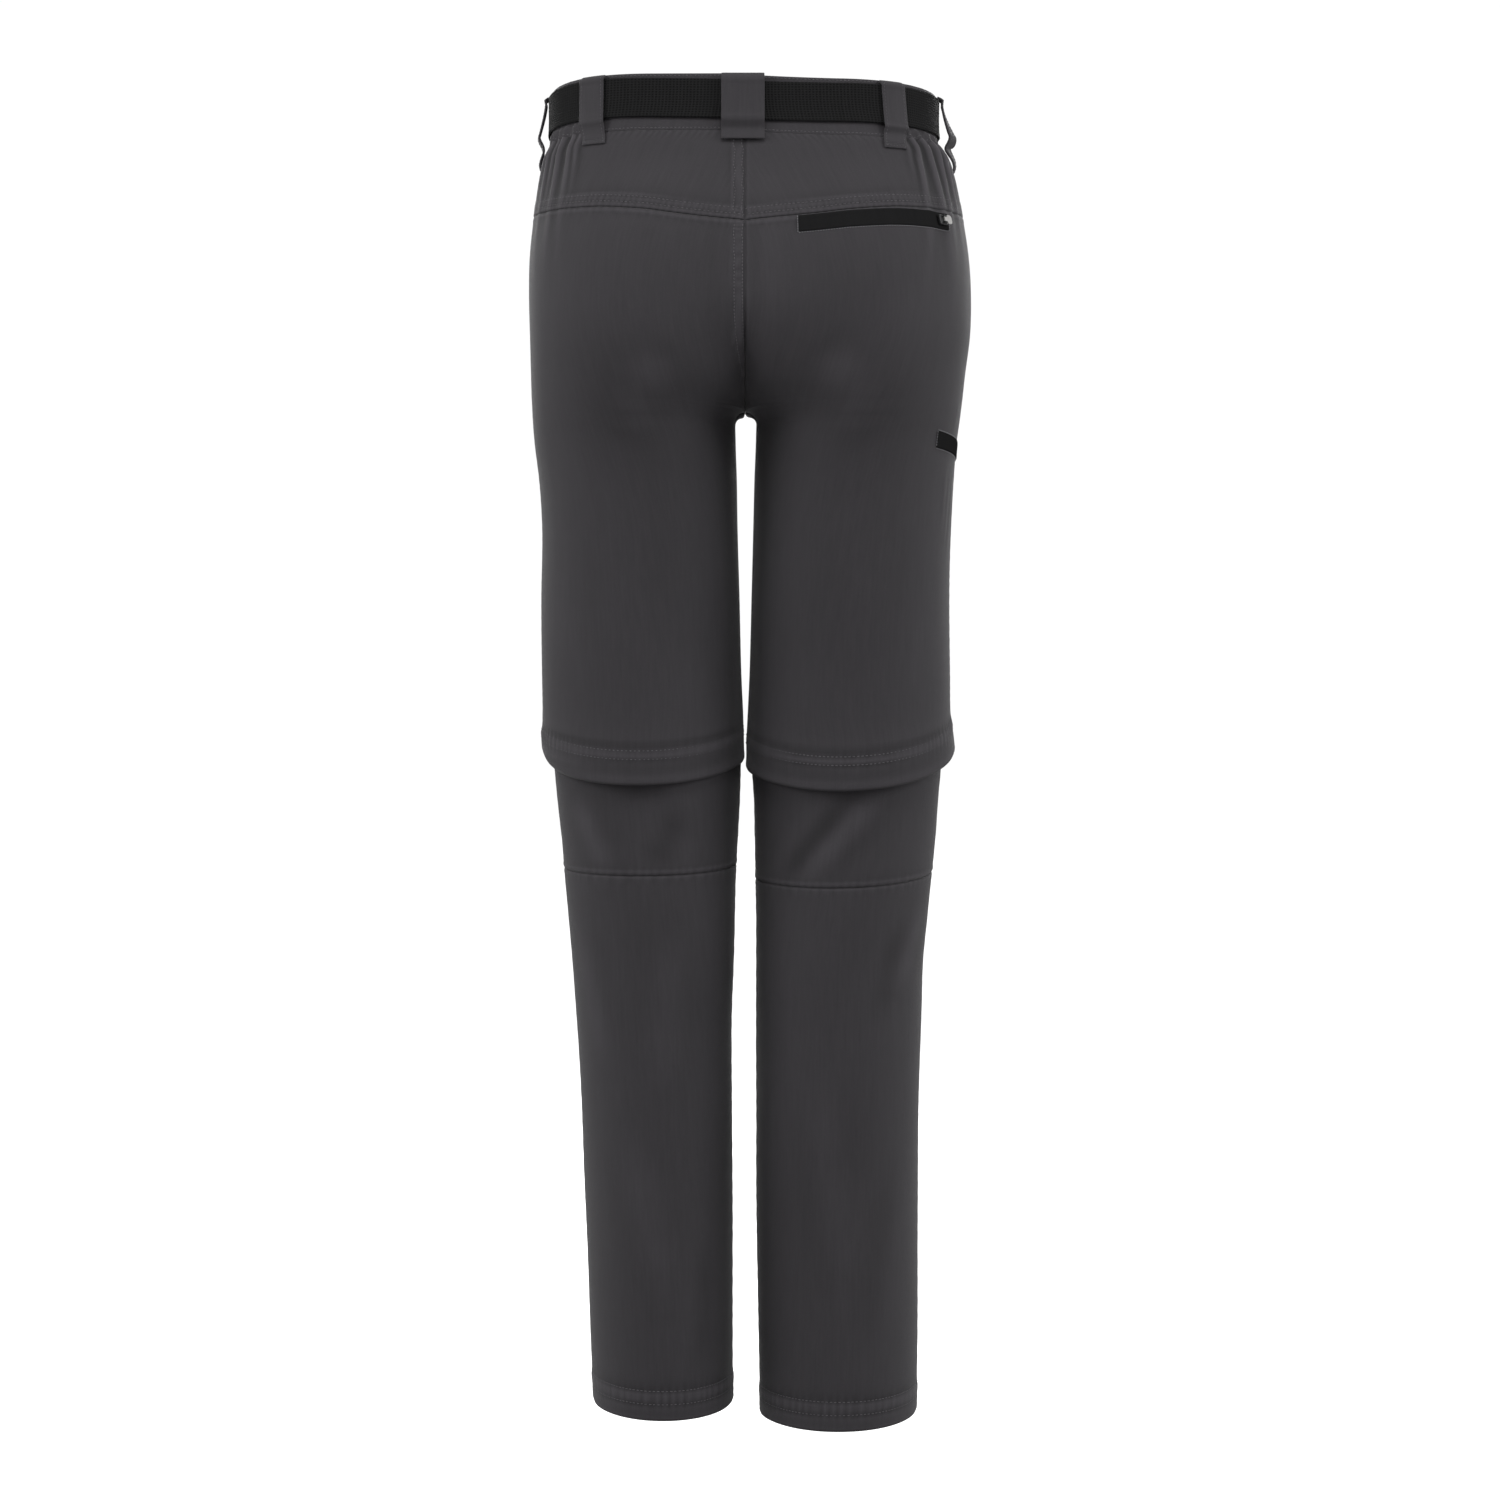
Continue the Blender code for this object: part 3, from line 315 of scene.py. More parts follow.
def thread_wave(tree, coordinate, pitch):
    """0.5 + 0.5 cos of the coordinate in threads."""
    turns = math_node(tree, "DIVIDE", coordinate, pitch)
    angle = math_node(tree, "MULTIPLY", turns, 2 * math.pi)
    return math_node(tree, "MULTIPLY_ADD", math_node(tree, "COSINE", angle), 0.5, 0.5)


# %% Weave group
weave, weave_in, weave_out = socket_group(
    "weave", (("Vector", None), ("Warp Pitch", 0.0006), ("Weft Pitch", 0.0006), ("Twill", 0.5)),
    ("Height", "Gap"))
split = weave.nodes.new("ShaderNodeSeparateXYZ")
weave.links.new(weave_in.outputs["Vector"], split.inputs[0])
slant = math_node(weave, "MULTIPLY_ADD", split.outputs[1], weave_in.outputs["Twill"],
                  split.outputs[0])
warp = thread_wave(weave, slant, weave_in.outputs["Warp Pitch"])
weft = thread_wave(weave, split.outputs[1], weave_in.outputs["Weft Pitch"])
crossed = math_node(weave, "MAXIMUM", warp, weft)
weave.links.new(crossed, weave_out.inputs["Height"])
weave.links.new(math_node(weave, "SUBTRACT", 1.0, crossed), weave_out.inputs["Gap"])

# %% Uneven tone group
tone, tone_in, tone_out = socket_group(
    "uneven_tone", (("Vector", None), ("Fine", 900.0), ("Broad", 14.0), ("Amount", 0.1)),
    ("Factor",))


def noise_value(tree, vector, scale, detail):
    node = tree.nodes.new("ShaderNodeTexNoise")
    node.inputs["Detail"].default_value = detail
    tree.links.new(vector, node.inputs["Vector"])
    tree.links.new(scale, node.inputs["Scale"])
    return node.outputs["Fac"]


fine = noise_value(tone, tone_in.outputs["Vector"], tone_in.outputs["Fine"], 2.0)
broad = noise_value(tone, tone_in.outputs["Vector"], tone_in.outputs["Broad"], 3.0)
mixed = math_node(tone, "MULTIPLY_ADD", math_node(tone, "SUBTRACT", broad, 0.5), 0.7,
                  math_node(tone, "SUBTRACT", fine, 0.5))
tone.links.new(math_node(tone, "MULTIPLY_ADD", mixed, tone_in.outputs["Amount"], 1.0),
               tone_out.inputs["Factor"])

# %% Woven materials


def coordinate(tree, kind):
    node = tree.nodes.new("ShaderNodeTexCoord")
    return node.outputs[kind]


def place_group(tree, group, vector, **values):
    node = tree.nodes.new("ShaderNodeGroup")
    node.node_tree = group
    tree.links.new(vector, node.inputs["Vector"])
    for label, value in values.items():
        node.inputs[label.replace("_", " ")].default_value = value
    return node


SLUB_STRETCH = 0.07


def woven_material(name, colour, roughness, sheen, warp_pitch, weft_pitch, twill, depth, uneven,
                   gap_shade, broad=14.0, sheen_roughness=0.45, specular=0.2):
    """Principled cloth: colour times uneven tone, painted shade in the weave gaps and fold troughs, painted
    light on fold ridges, and a bump of the weave.
    """
    material = bpy.data.materials.new(name)
    material.use_nodes = True
    tree = material.node_tree
    shader = tree.nodes["Principled BSDF"]
    threads = place_group(tree, weave, coordinate(tree, "UV"), Warp_Pitch=warp_pitch,
                          Weft_Pitch=weft_pitch, Twill=twill)
    shade = place_group(tree, tone, coordinate(tree, "Object"), Fine=900.0, Broad=broad,
                        Amount=uneven)
    stretched = tree.nodes.new("ShaderNodeMapping")
    stretched.inputs["Scale"].default_value = (1.0, SLUB_STRETCH, 1.0)
    tree.links.new(coordinate(tree, "UV"), stretched.inputs["Vector"])
    slubs = place_group(tree, tone, stretched.outputs["Vector"], Fine=620.0, Broad=210.0,
                        Amount=uneven * 1.6)
    # Painted shade between the threads: the colour is darker in the weave gaps by the gap shade.
    painted_gap_shade = math_node(tree, "MULTIPLY_ADD", threads.outputs["Gap"], -gap_shade, 1.0)
    # Painted shade in fold troughs and painted light on fold ridges: the colour is scaled by 1 + 0.6 times the
    # fold value.
    fold = tree.nodes.new("ShaderNodeAttribute")
    fold.attribute_name = "fold"
    painted_fold_shade = math_node(tree, "MULTIPLY_ADD", fold.outputs["Fac"], 0.6, 1.0)
    value = math_node(tree, "MULTIPLY", shade.outputs["Factor"],
                      math_node(tree, "MULTIPLY", painted_gap_shade, painted_fold_shade))
    value = math_node(tree, "MULTIPLY", value, slubs.outputs["Factor"])
    tint = tree.nodes.new("ShaderNodeMix")
    tint.data_type = "RGBA"
    tint.inputs["A"].default_value = (0.0, 0.0, 0.0, 1.0)
    tint.inputs["B"].default_value = (*(2.0 * c for c in colour), 1.0)
    tree.links.new(math_node(tree, "MULTIPLY", value, 0.5), tint.inputs["Factor"])
    tree.links.new(tint.outputs["Result"], shader.inputs["Base Color"])
    rough = math_node(tree, "MULTIPLY_ADD", threads.outputs["Gap"], 0.08, roughness)
    tree.links.new(rough, shader.inputs["Roughness"])
    bump = tree.nodes.new("ShaderNodeBump")
    bump.inputs["Distance"].default_value = depth
    bump.inputs["Strength"].default_value = 1.0
    tree.links.new(threads.outputs["Height"], bump.inputs["Height"])
    tree.links.new(bump.outputs["Normal"], shader.inputs["Normal"])
    shader.inputs["Sheen Weight"].default_value = sheen
    shader.inputs["Sheen Roughness"].default_value = sheen_roughness
    shader.inputs["Specular IOR Level"].default_value = specular
    return material


cloth_material = woven_material("charcoal_cloth", (0.0290, 0.0268, 0.0302), 0.74, 0.08, 0.00055,
                                0.00075, 0.6, 0.00006, 0.16, 0.22)
webbing_material = woven_material("black_webbing", (0.0116, 0.0116, 0.0118), 0.85, 0.0, 0.0026,
                                  0.0019, 0.0, 0.0003, 0.2, 0.65, specular=0.05)
tape_material = woven_material("coated_tape", (0.0112, 0.0112, 0.0115), 0.65, 0.0, 0.0009, 0.0006,
                               0.0, 0.00005, 0.15, 0.2, specular=0.0)
thread_material = woven_material("sewing_thread", (0.072, 0.069, 0.075), 0.6, 0.1, 0.0003, 0.0003,
                                 1.0, 0.00002, 0.1, 0.1)
pocket_thread = woven_material("pocket_thread", (0.16, 0.16, 0.17), 0.6, 0.1, 0.0003, 0.0003, 1.0,
                               0.00002, 0.1, 0.1)
print("woven materials:", [m.name for m in bpy.data.materials])

# %% [markdown]
# ## Metal and lacquer
# The sliders, the snap and the buckle are black lacquered metal, and the pull tabs are bright.
# Handling wears metal unevenly, so the roughness carries a soft noise, and fine scratches give
# a little bump.

# %% Metal materials


def metal_material(name, colour, metallic, roughness, spread):
    """Principled metal whose roughness and bump follow the uneven tone."""
    material = bpy.data.materials.new(name)
    material.use_nodes = True
    tree = material.node_tree
    shader = tree.nodes["Principled BSDF"]
    shader.inputs["Metallic"].default_value = metallic
    shade = place_group(tree, tone, coordinate(tree, "Object"), Fine=1400.0, Broad=160.0,
                        Amount=1.0)
    offset = math_node(tree, "SUBTRACT", shade.outputs["Factor"], 1.0)
    rough = math_node(tree, "MULTIPLY_ADD", offset, spread, roughness)
    tree.links.new(rough, shader.inputs["Roughness"])
    tint = tree.nodes.new("ShaderNodeMix")
    tint.data_type = "RGBA"
    tint.inputs["A"].default_value = (*(0.75 * c for c in colour), 1.0)
    tint.inputs["B"].default_value = (*(1.25 * c for c in colour), 1.0)
    tree.links.new(math_node(tree, "MULTIPLY_ADD", offset, 0.8, 0.5), tint.inputs["Factor"])
    tree.links.new(tint.outputs["Result"], shader.inputs["Base Color"])
    bump = tree.nodes.new("ShaderNodeBump")
    bump.inputs["Distance"].default_value = 0.00003
    tree.links.new(shade.outputs["Factor"], bump.inputs["Height"])
    tree.links.new(bump.outputs["Normal"], shader.inputs["Normal"])
    return material


black_metal = metal_material("black_lacquer", (0.02, 0.02, 0.021), 0.5, 0.36, 0.25)
bright_metal = metal_material("polished_pull", (0.55, 0.54, 0.53), 1.0, 0.38, 0.3)
for node, finish in (("back_pocket_slider", black_metal), ("thigh_pocket_slider", black_metal),
                     ("waist_snap", black_metal), ("belt_buckle", black_metal),
                     ("back_pocket_pull", bright_metal), ("thigh_pocket_pull", bright_metal)):
    solid = bpy.data.objects[node]
    solid.data.materials.clear()
    solid.data.materials.append(finish)
print("metal finishes on", 6, "nodes")

# %% [markdown]
# ## From a grid to a piece
# A piece of cloth is a grid of points worked out as whole arrays. Its quads are numbered the same
# way, so one helper makes every mesh, gives it a UV map in metres of cloth, thickens it inwards,
# names the solid it stands for, and states the flat size it was cut to.

# %% Mesh helpers


def grid_object(name, points, uv, material, closed=False):
    """Object from a grid whose columns run round the body, outwards by the right-hand rule."""
    rows, columns = points.shape[:2]
    index = np.arange(rows * columns).reshape(rows, columns)
    quads = np.stack([index[:-1, :-1], index[:-1, 1:], index[1:, 1:], index[1:, :-1]], axis=-1)
    quads = quads.reshape(-1, 4)
    corners_uv = uv.reshape(-1, 2)[quads.ravel()]
    if closed:
        quads = np.where(quads % columns == columns - 1, quads - (columns - 1), quads)
        used = (np.arange(rows * columns) % columns) < columns - 1
        renumber = np.cumsum(used) - 1
        quads = renumber[quads]
        points = points[:, :-1]
    return mesh_object(name, points.reshape(-1, 3), quads, material, corners_uv)


def mesh_object(name, points, faces, material, corners_uv=None):
    """Mesh filled with foreach_set from points (mm) and one array of faces for each corner count."""
    faces = faces if isinstance(faces, list) else [faces]
    mesh = bpy.data.meshes.new(name)
    mesh.vertices.add(len(points))
    mesh.vertices.foreach_set("co", (points * MM).astype(np.float32).ravel())
    corners = np.concatenate([f.ravel() for f in faces]).astype(np.int32)
    mesh.loops.add(len(corners))
    mesh.loops.foreach_set("vertex_index", corners)
    sizes = np.concatenate([np.full(len(f), f.shape[1]) for f in faces])
    mesh.polygons.add(len(sizes))
    mesh.polygons.foreach_set("loop_start", (np.cumsum(sizes) - sizes).astype(np.int32))
    mesh.update(calc_edges=True)
    if corners_uv is not None:
        layer = mesh.uv_layers.new(name="UVMap")
        layer.data.foreach_set("uv", (corners_uv * MM).astype(np.float32).ravel())
    mesh.shade_smooth()
    mesh.materials.append(material)
    obj = bpy.data.objects.new(name, mesh)
    bpy.context.scene.collection.objects.link(obj)
    return obj


def fold_values(move):
    """How far each point stands above the average of its neighbours, from -1 to 1; the cloth colour turns it
    into painted shade in troughs and painted light on ridges.
    """
    smooth = move.copy()
    for _ in range(10):
        padded = np.pad(smooth, 1, mode="edge")
        smooth = (padded[:-2, 1:-1] + padded[2:, 1:-1] + padded[1:-1, :-2] + padded[1:-1, 2:]
                  + 2 * smooth) / 6
    return np.tanh((move - smooth) / 0.35)


def fold_shade_attribute(obj, folds):
    """Keeps the fold values on the points, which the cloth colour reads as painted shade in troughs and painted
    light on ridges.
    """
    layer = obj.data.attributes.new("fold", "FLOAT", "POINT")
    layer.data.foreach_set("value", folds.astype(np.float32).ravel())


def wall(obj, thickness):
    """Solidify inwards, so the grid stays the outer face."""
    modifier = obj.modifiers.new("wall", "SOLIDIFY")
    modifier.thickness = thickness * MM
    modifier.offset = -1.0
    modifier.use_even_offset = False


def grid_area(points):
    """Area in square metres: half the cross product of each quad's diagonals."""
    first = points[1:, 1:] - points[:-1, :-1]
    second = points[1:, :-1] - points[:-1, 1:]
    return float(np.linalg.norm(np.cross(first, second), axis=-1).sum() / 2 * MM * MM)


def finish_cloth(obj, points, nodes, held, slot="cloth", body="trousers", **rest):
    """Rides, replaces its solids and states its flat cut from its own grid."""
    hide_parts(*nodes)
    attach(obj, body)
    steps_round = np.linalg.norm(np.diff(points, axis=1), axis=-1).sum(axis=1)
    steps_down = np.linalg.norm(np.diff(points, axis=0), axis=-1).sum(axis=0)
    flat = (float(steps_round.max()) * MM, float(steps_down.max()) * MM)
    area = grid_area(points)
    area = float(np.clip(area, 0.3 * flat[0] * flat[1], flat[0] * flat[1]))
    print(f"{obj.name}: cut {flat[0] * 1000:.0f} x {flat[1] * 1000:.0f} mm, {area:.4f} m2")
    return obj


def dense_span(length, step, edge=(0.6, 1.2, 1.9, 2.7, 3.6, 4.7, 6.0, 7.5, 9.2)):
    """Places along a length, close together at both ends where the sewn edges are."""
    start = np.array((0.0,) + edge)
    middle = length - 2 * (edge[-1] + step)
    count = max(int(round(middle / step)), 2)
    inside = np.linspace(edge[-1] + step, length - edge[-1] - step, count)
    return np.concatenate([start, inside, length - start[::-1]])


# %% [markdown]
# ## What is sewn and folded into the cloth
# A seam draws the two edges down into a groove. The turned allowance under it raises a band, and
# each row of topstitching presses a fine channel with small puckers beside it. Side elastic
# gathers the cloth into uneven folds that fall away over a few centimetres. Larger creases are
# soft ridges and troughs placed one by one, as distances along the cloth from the side seam.

# %% Sewn relief
ROLL = 0.9
# Folds of the elastic: distance along the cloth from the side seam, height, how far they fall
GATHER_ROWS = {
    ("left", "back"): ((8, 0.8, 40, 0.0, 3.2), (20, 0.9, 46, 0.02, 3.0), (31, 1.6, 44, 0.04, 3.2),
                       (41, 2.6, 46, 0.05, 3.1), (57, 4.2, 52, 0.12, 3.3), (67, 3.0, 38, 0.12, 2.8),
                       (76, 4.2, 50, 0.18, 3.2), (89, 4.0, 46, 0.24, 3.0), (95, 2.6, 36, 0.28, 2.3)),
    ("right", "back"): ((9, 0.8, 42, 0.0, 3.2), (21, 0.9, 38, 0.02, 3.0), (33, 1.6, 46, 0.02, 3.1),
                        (46, 2.8, 44, 0.02, 3.0), (59, 4.6, 46, 0.04, 3.3), (70, 4.8, 54, 0.18, 3.2),
                        (87, 5.0, 56, 0.10, 3.4), (96, 4.0, 50, 0.30, 2.6), (104, 1.2, 34, 0.30, 2.2)),
    ("left", "front"): ((8, 0.8, 40, 0.0, 3.4), (21, 2.1, 52, -0.04, 3.8), (34, 1.1, 34, -0.08, 4.0)),
    ("right", "front"): ((9, 0.8, 42, 0.0, 3.4), (22, 2.1, 48, -0.04, 3.6), (35, 1.0, 32, -0.08, 4.0)),
}
# Creases: side, from (s, z) to (s, z), width, height; s is positive to the back of the side seam
CREASE_ROWS = (
    ("right", 98, -540, 150, -602, 12, 1.6), ("right", 120, -545, 172, -610, 12, -1.5),
    ("right", 40, -628, 62, -690, 12, 1.2), ("right", 66, -640, 84, -716, 13, -0.8),
    ("left", 60, -545, 88, -604, 13, 1.6), ("left", 150, -550, 120, -600, 14, -1.3),
    ("left", 45, -640, 70, -745, 15, 1.4), ("left", 130, -650, 118, -760, 17, 1.2),
    ("left", 90, -800, 112, -925, 18, 1.3), ("right", 130, -760, 110, -905, 18, 1.3),
    ("right", 70, -820, 92, -960, 17, -1.2), ("left", 150, -880, 140, -985, 15, -1.1),
    ("left", 60, -300, 78, -455, 24, 1.4), ("left", 140, -290, 118, -440, 24, 1.2),
    ("right", 66, -310, 80, -470, 24, 1.3), ("right", 150, -285, 126, -430, 24, 1.3),
    ("left", 200, -215, 150, -262, 16, 1.5), ("right", 205, -212, 150, -260, 16, 1.6),
    ("right", 30, -292, 34, -360, 3.6, 0.7), ("right", 42, -294, 45, -350, 3.2, 0.6),
    ("right", 54, -291, 53, -338, 3.2, 0.6), ("right", 47, -240, 50, -264, 3.4, 0.5),
    ("left", -40, -545, -95, -600, 13, 1.8), ("left", -130, -560, -80, -606, 13, -1.4),
    ("right", -50, -545, -105, -602, 13, 1.7), ("right", -140, -548, -92, -606, 13, -1.4),
    ("left", -60, -640, -85, -750, 16, 1.4), ("right", -70, -650, -60, -770, 16, 1.4),
    ("left", -110, -790, -96, -930, 18, 1.2), ("right", -100, -800, -118, -940, 18, 1.2),
    ("left", -175, -200, -120, -250, 13, 2.0), ("right", -175, -198, -118, -252, 13, 2.0),
    ("left", -165, -222, -112, -284, 12, -1.3), ("right", -168, -224, -110, -280, 12, -1.3),
    ("left", -60, -150, -72, -330, 26, 1.4), ("right", -62, -160, -74, -335, 26, 1.4),
)


CREASE_SHARE = 0.65


def gathers(side, face, s, z, top):
    """Sum of folds: each a bell across, rising below the waistband and falling over its length."""
    below = np.maximum(top - z, 0.0)
    total = np.zeros_like(s)
    for place, height, length, lean, width in GATHER_ROWS[side, face]:
        shift = s - place - lean * below
        fall = np.exp(-(below / length) ** 1.6)
        total += height * hump(shift, width * (1 + below / 110)) * fall
    return total * ease(below / 5.0 + 0.12)


def creases(side, face, s, z):
    """Sum of bells about straight lines on the flat cloth, faded at both ends."""
    at = s * FACE_SIGN[face]
    total = np.zeros_like(s)
    for owner, s0, z0, s1, z1, width, height in CREASE_ROWS:
        if owner != side:
            continue
        span = np.hypot(s1 - s0, z1 - z0)
        ds, dz = (s1 - s0) / span, (z1 - z0) / span
        along = ((at - s0) * ds + (z - z0) * dz) / span
        across = (at - s0) * dz - (z - z0) * ds
        fade = ease((along + 0.15) / 0.5) * ease((1.15 - along) / 0.5)
        total += CREASE_SHARE * height * hump(across, width) * fade
    return total


def drape(side, face, s, z):
    """Broad unevenness of hanging cloth: three slow sines that cross."""
    at = s * FACE_SIGN[face] + (0.0 if side == "left" else 37.0)
    return (0.35 * np.sin(at / 19.0 + z / 83.0) + 0.3 * np.sin(at / 31.0 - z / 57.0 + 1.3)
            + 0.2 * np.sin(z / 23.0 + at / 45.0))


def seam_edge(distance):
    """Groove where the cloth turns in at a seam."""
    return -ROLL * hump(distance, 1.0)


def raised_band(distance, width, height):
    """Allowance under the cloth: a step up that ends softly at its width."""
    return height * (1 - ease((distance - width) / 2.0)) * ease(distance / 1.5)


def stitch_channel(distance, along, at, depth=0.28):
    """Fine groove of a row of stitches, uneven along it where the thread draws in."""
    pull = 0.75 + 0.25 * np.sin(along * 2 * np.pi / 3.2)
    return -depth * hump(distance - at, 0.75) * pull


def cross_seam(distance, s, depth=0.45, ripple=0.12):
    """A seam across the panels, the same on both of its sides so that they meet."""
    return -depth * hump(distance, 0.9) + puckers(distance, s, 0.0, 5.5, ripple, 5.5)


def puckers(distance, along, at, reach, height, pitch=4.6):
    """Small ripples across a sewn line, of uneven pitch, dying away from it."""
    phase = 2 * np.pi * along / pitch + 1.1 * np.sin(along / 13.0) + 0.8 * np.sin(along / 5.1)
    return height * np.sin(phase) * hump(distance - at, reach)


# %% [markdown]
# ## Panels
# Each cut piece knows its surface, the lines that it lies between, and its own sewn relief.
# Asking a panel for its skin at any u and height gives the finished outer face there, so the
# shell, the stitches and whatever lies on it all agree.

# %% Panel class
STITCH_PITCH = 3.3


class Panel:
    """A cut piece between two lines, from the side seam to the inner edge."""

    def __init__(self, name, data, side, face, top, bottom, relief, grid):
        self.name, self.data, self.side, self.face = name, data, side, face
        self.top, self.bottom, self.relief, self.grid = top, bottom, relief, grid

    def skin(self, u, z, lift=0.0):
        """Base point moved along its normal by the relief and any lift."""
        u, z = np.broadcast_arrays(np.asarray(u, float), np.asarray(z, float))
        base = surface(self.data, self.side, self.face, u, z)
        normal = surface_normal(self.data, self.side, self.face, u, z)
        s = arc(self.data, self.side, self.face, u, z)
        edge = ease(np.minimum(s, inner_distance(self, s, z)) / 2.2)
        move = self.relief(self, u, z, s) * edge - 0.3 * (1.0 - edge) + lift
        if self.name.split("_")[1] == "panel":
            move = move + flap_curl(self, u, z)
        self.moved = move
        return base + normal * move[..., None], normal

    def build(self):
        """The shell of this panel, in place of its solid."""
        us, heights = self.grid(self)
        u = np.broadcast_to(us, heights.shape)
        points, _ = self.skin(u, heights)
        sign = FACE_SIGN[self.face]
        points[..., 1] += sign * HALF_GAP * ((u == 0.0) | ((u == 1.0) & (heights <= FORK_Z)))
        pinned = (u == 1.0) & (heights > FORK_Z)
        points[..., 0] = np.where(pinned, SIDE_SIGN[self.side] * HALF_GAP, points[..., 0])
        folds = fold_values(self.moved)
        uv = np.stack([arc(self.data, self.side, self.face, u, heights), heights], axis=-1)
        if outward(self.side, self.face) < 0:
            points, uv, folds = points[:, ::-1], uv[:, ::-1], folds[:, ::-1]
        obj = grid_object(self.name + "_cloth", points, uv, cloth_material)
        fold_shade_attribute(obj, folds)
        wall(obj, WALL)
        return finish_cloth(obj, points, [self.name], "hung")


def inner_distance(panel, s, z):
    """Distance along the cloth from the inner edge."""
    return arc(panel.data, panel.side, panel.face, np.ones_like(s), z) - s


def trunk_relief(panel, u, s, z):
    """What both back and front share: gathers under the elastic, creases, drape, side seam."""
    inner = inner_distance(panel, s, z)
    calm = ease(inner / 26.0)
    soft = (creases(panel.side, panel.face, s, z) + drape(panel.side, panel.face, s, z)) * calm
    soft = soft * ease((waist_bottom(panel.side, panel.face, u) - z) / 45.0 + 0.1)
    return soft + gathers(panel.side, panel.face, s, z, belt_bottom(panel.side, panel.face, u)) + side_seam(s, z)


def side_seam(s, z):
    """Groove, allowance and puckers at the seam down the outer side."""
    return raised_band(s, 7.0, 0.3) + puckers(s, z, 0.0, 6.0, 0.12)


def waist_top(side, face, u):
    """Upper edge of the waistband: the front is cut lower, and the wearer's right back dips."""
    drop = 12.0 * ease(u) if face == "front" else -1.0 * u
    return 2.0 - drop - WAIST_DIP.get((side, face), 0.0) * np.sin(np.pi * u ** 0.6)


def waist_bottom(side, face, u):
    return waist_top(side, face, u) - WAISTBAND_WIDTH


def belt_top(side, face, u):
    """Upper edge of the belt, lower at the back and the front than at the side."""
    drop = 14.0 * ease(u) if face == "front" else 2.5 * u
    return -drop - WAIST_DIP.get((side, face), 0.0) * np.sin(np.pi * u ** 0.6)


def belt_bottom(side, face, u):
    return belt_top(side, face, u) - BELT_WIDTH


def yoke_line(u):
    return read(YOKE, "u", "z", u)


def rows_between(top, bottom, fixed, us):
    """Rows of heights between two lines; the fixed heights near the fork keep their place."""
    fixed = np.asarray(fixed, float)[:, None]
    first, last = float(fixed[0, 0]), float(fixed[-1, 0])
    middle = FORK_Z if first > FORK_Z > last else (first + last) / 2
    near_top = np.clip((fixed - middle) / (first - middle), 0.0, 1.0) ** 1.5
    near_bottom = np.clip((middle - fixed) / (middle - last), 0.0, 1.0) ** 1.5
    return fixed + (top - first) * near_top + (bottom - last) * near_bottom


def trunk_rows(face, first, last, step):
    """Fixed heights: dense at both ends, even round the turn under the seat, dense in the arch."""
    start = TURN_START[face]
    upper = first - dense_span(first - start + 12.0, step)
    upper = upper[upper > start + step * 0.6]
    angles = np.radians(np.linspace(0.0, 90.0, 24))
    turned = start - (start - FORK_Z) * np.sin(angles)
    arch = FORK_Z - np.array([0.25, 0.6, 1.1, 1.8, 2.7, 3.8, 5.2, 7.0, 9.2])
    lower = arch[-1] - dense_span(arch[-1] - last, step)[3:]
    return np.concatenate([upper, turned, arch, lower])


def arc_columns(panel, z, step):
    """Places in u that are even along the cloth, closer together beside both seams."""
    length = float(arc(panel.data, panel.side, panel.face, np.array(1.0), np.array(float(z))))
    us = u_at(panel.data, panel.side, panel.face, z, dense_span(length, step))
    us[0], us[-1] = 0.0, 1.0
    return us


# %% [markdown]
# ### Back yokes
# The yoke spans from the waistband to a seam that dips to the centre back. Its folds come from
# the elastic at the side. A double row of topstitching runs above the seam, with the allowance
# raised under it.

# %% Build the yokes
YOKE_STITCH = (4.2, 9.0)
CENTRE_STITCH = (1.8, 8.0)


def centre_band(panel, s, z):
    """Seam groove at the centre; the left half carries the stitched allowance."""
    inner = inner_distance(panel, s, z)
    relief = seam_edge(inner)
    if panel.side == "left":
        relief = relief + raised_band(inner, CENTRE_STITCH[1] + 1.0, 0.3)
        for at in CENTRE_STITCH:
            relief = relief + stitch_channel(inner, z, at)
        middle = sum(CENTRE_STITCH) / 2
        relief = relief + puckers(inner, z, middle, 3.0, 0.16, pitch=2.6)
    return relief


def yoke_relief(panel, u, z, s):
    above = z - yoke_line(u)
    below_waist = waist_bottom(panel.side, "back", u) - z
    relief = trunk_relief(panel, u, s, z) + centre_band(panel, s, z)
    relief = relief + cross_seam(above, s) + raised_band(above, YOKE_STITCH[1] + 1.2, 0.3)
    for at in YOKE_STITCH:
        relief = relief + stitch_channel(above, s, at)
    relief = relief + puckers(above, s, 6.5, 4.0, 0.12)
    return relief + cross_seam(below_waist, s, 0.2)


def yoke_grid(panel):
    us = arc_columns(panel, -70.0, 1.7)
    top = waist_bottom(panel.side, "back", us) - 2 * HALF_GAP
    bottom = yoke_line(us) + HALF_GAP
    share = dense_span(66.0, 2.2) / 66.0
    return us, top + (bottom - top) * share[:, None]


panels = {}
for half in ("left", "right"):
    panels["back_yoke_" + half] = Panel("back_yoke_" + half, BODY, half, "back",
                                        None, yoke_line,
                                        yoke_relief, yoke_grid)
    panels["back_yoke_" + half].build()

# %% [markdown]
# ### Back and front panels
# Each runs down to the free edge of the flap that hides the leg zip. Two rows of stitching above
# the edge hold the zip's upper tape. Below them the flap hangs free, a little proud, and its edge
# is turned in. Where the rows cross the outer side the cloth puckers.

# %% Build the back and front panels
FLAP_STITCH = (19.5, 26.0)


def flap_curl(panel, u, z):
    """How far the flap's free edge draws in, most at the outer side; front and back agree."""
    above = z - line(FLAP_EDGE[panel.side], panel.face, u)
    pull = np.clip(1.0 - above / FLAP_CURL_HEIGHT, 0.0, 1.0) ** 2
    return -FLAP_CURL[panel.side] * pull * (1.0 - ease(u / 0.45))


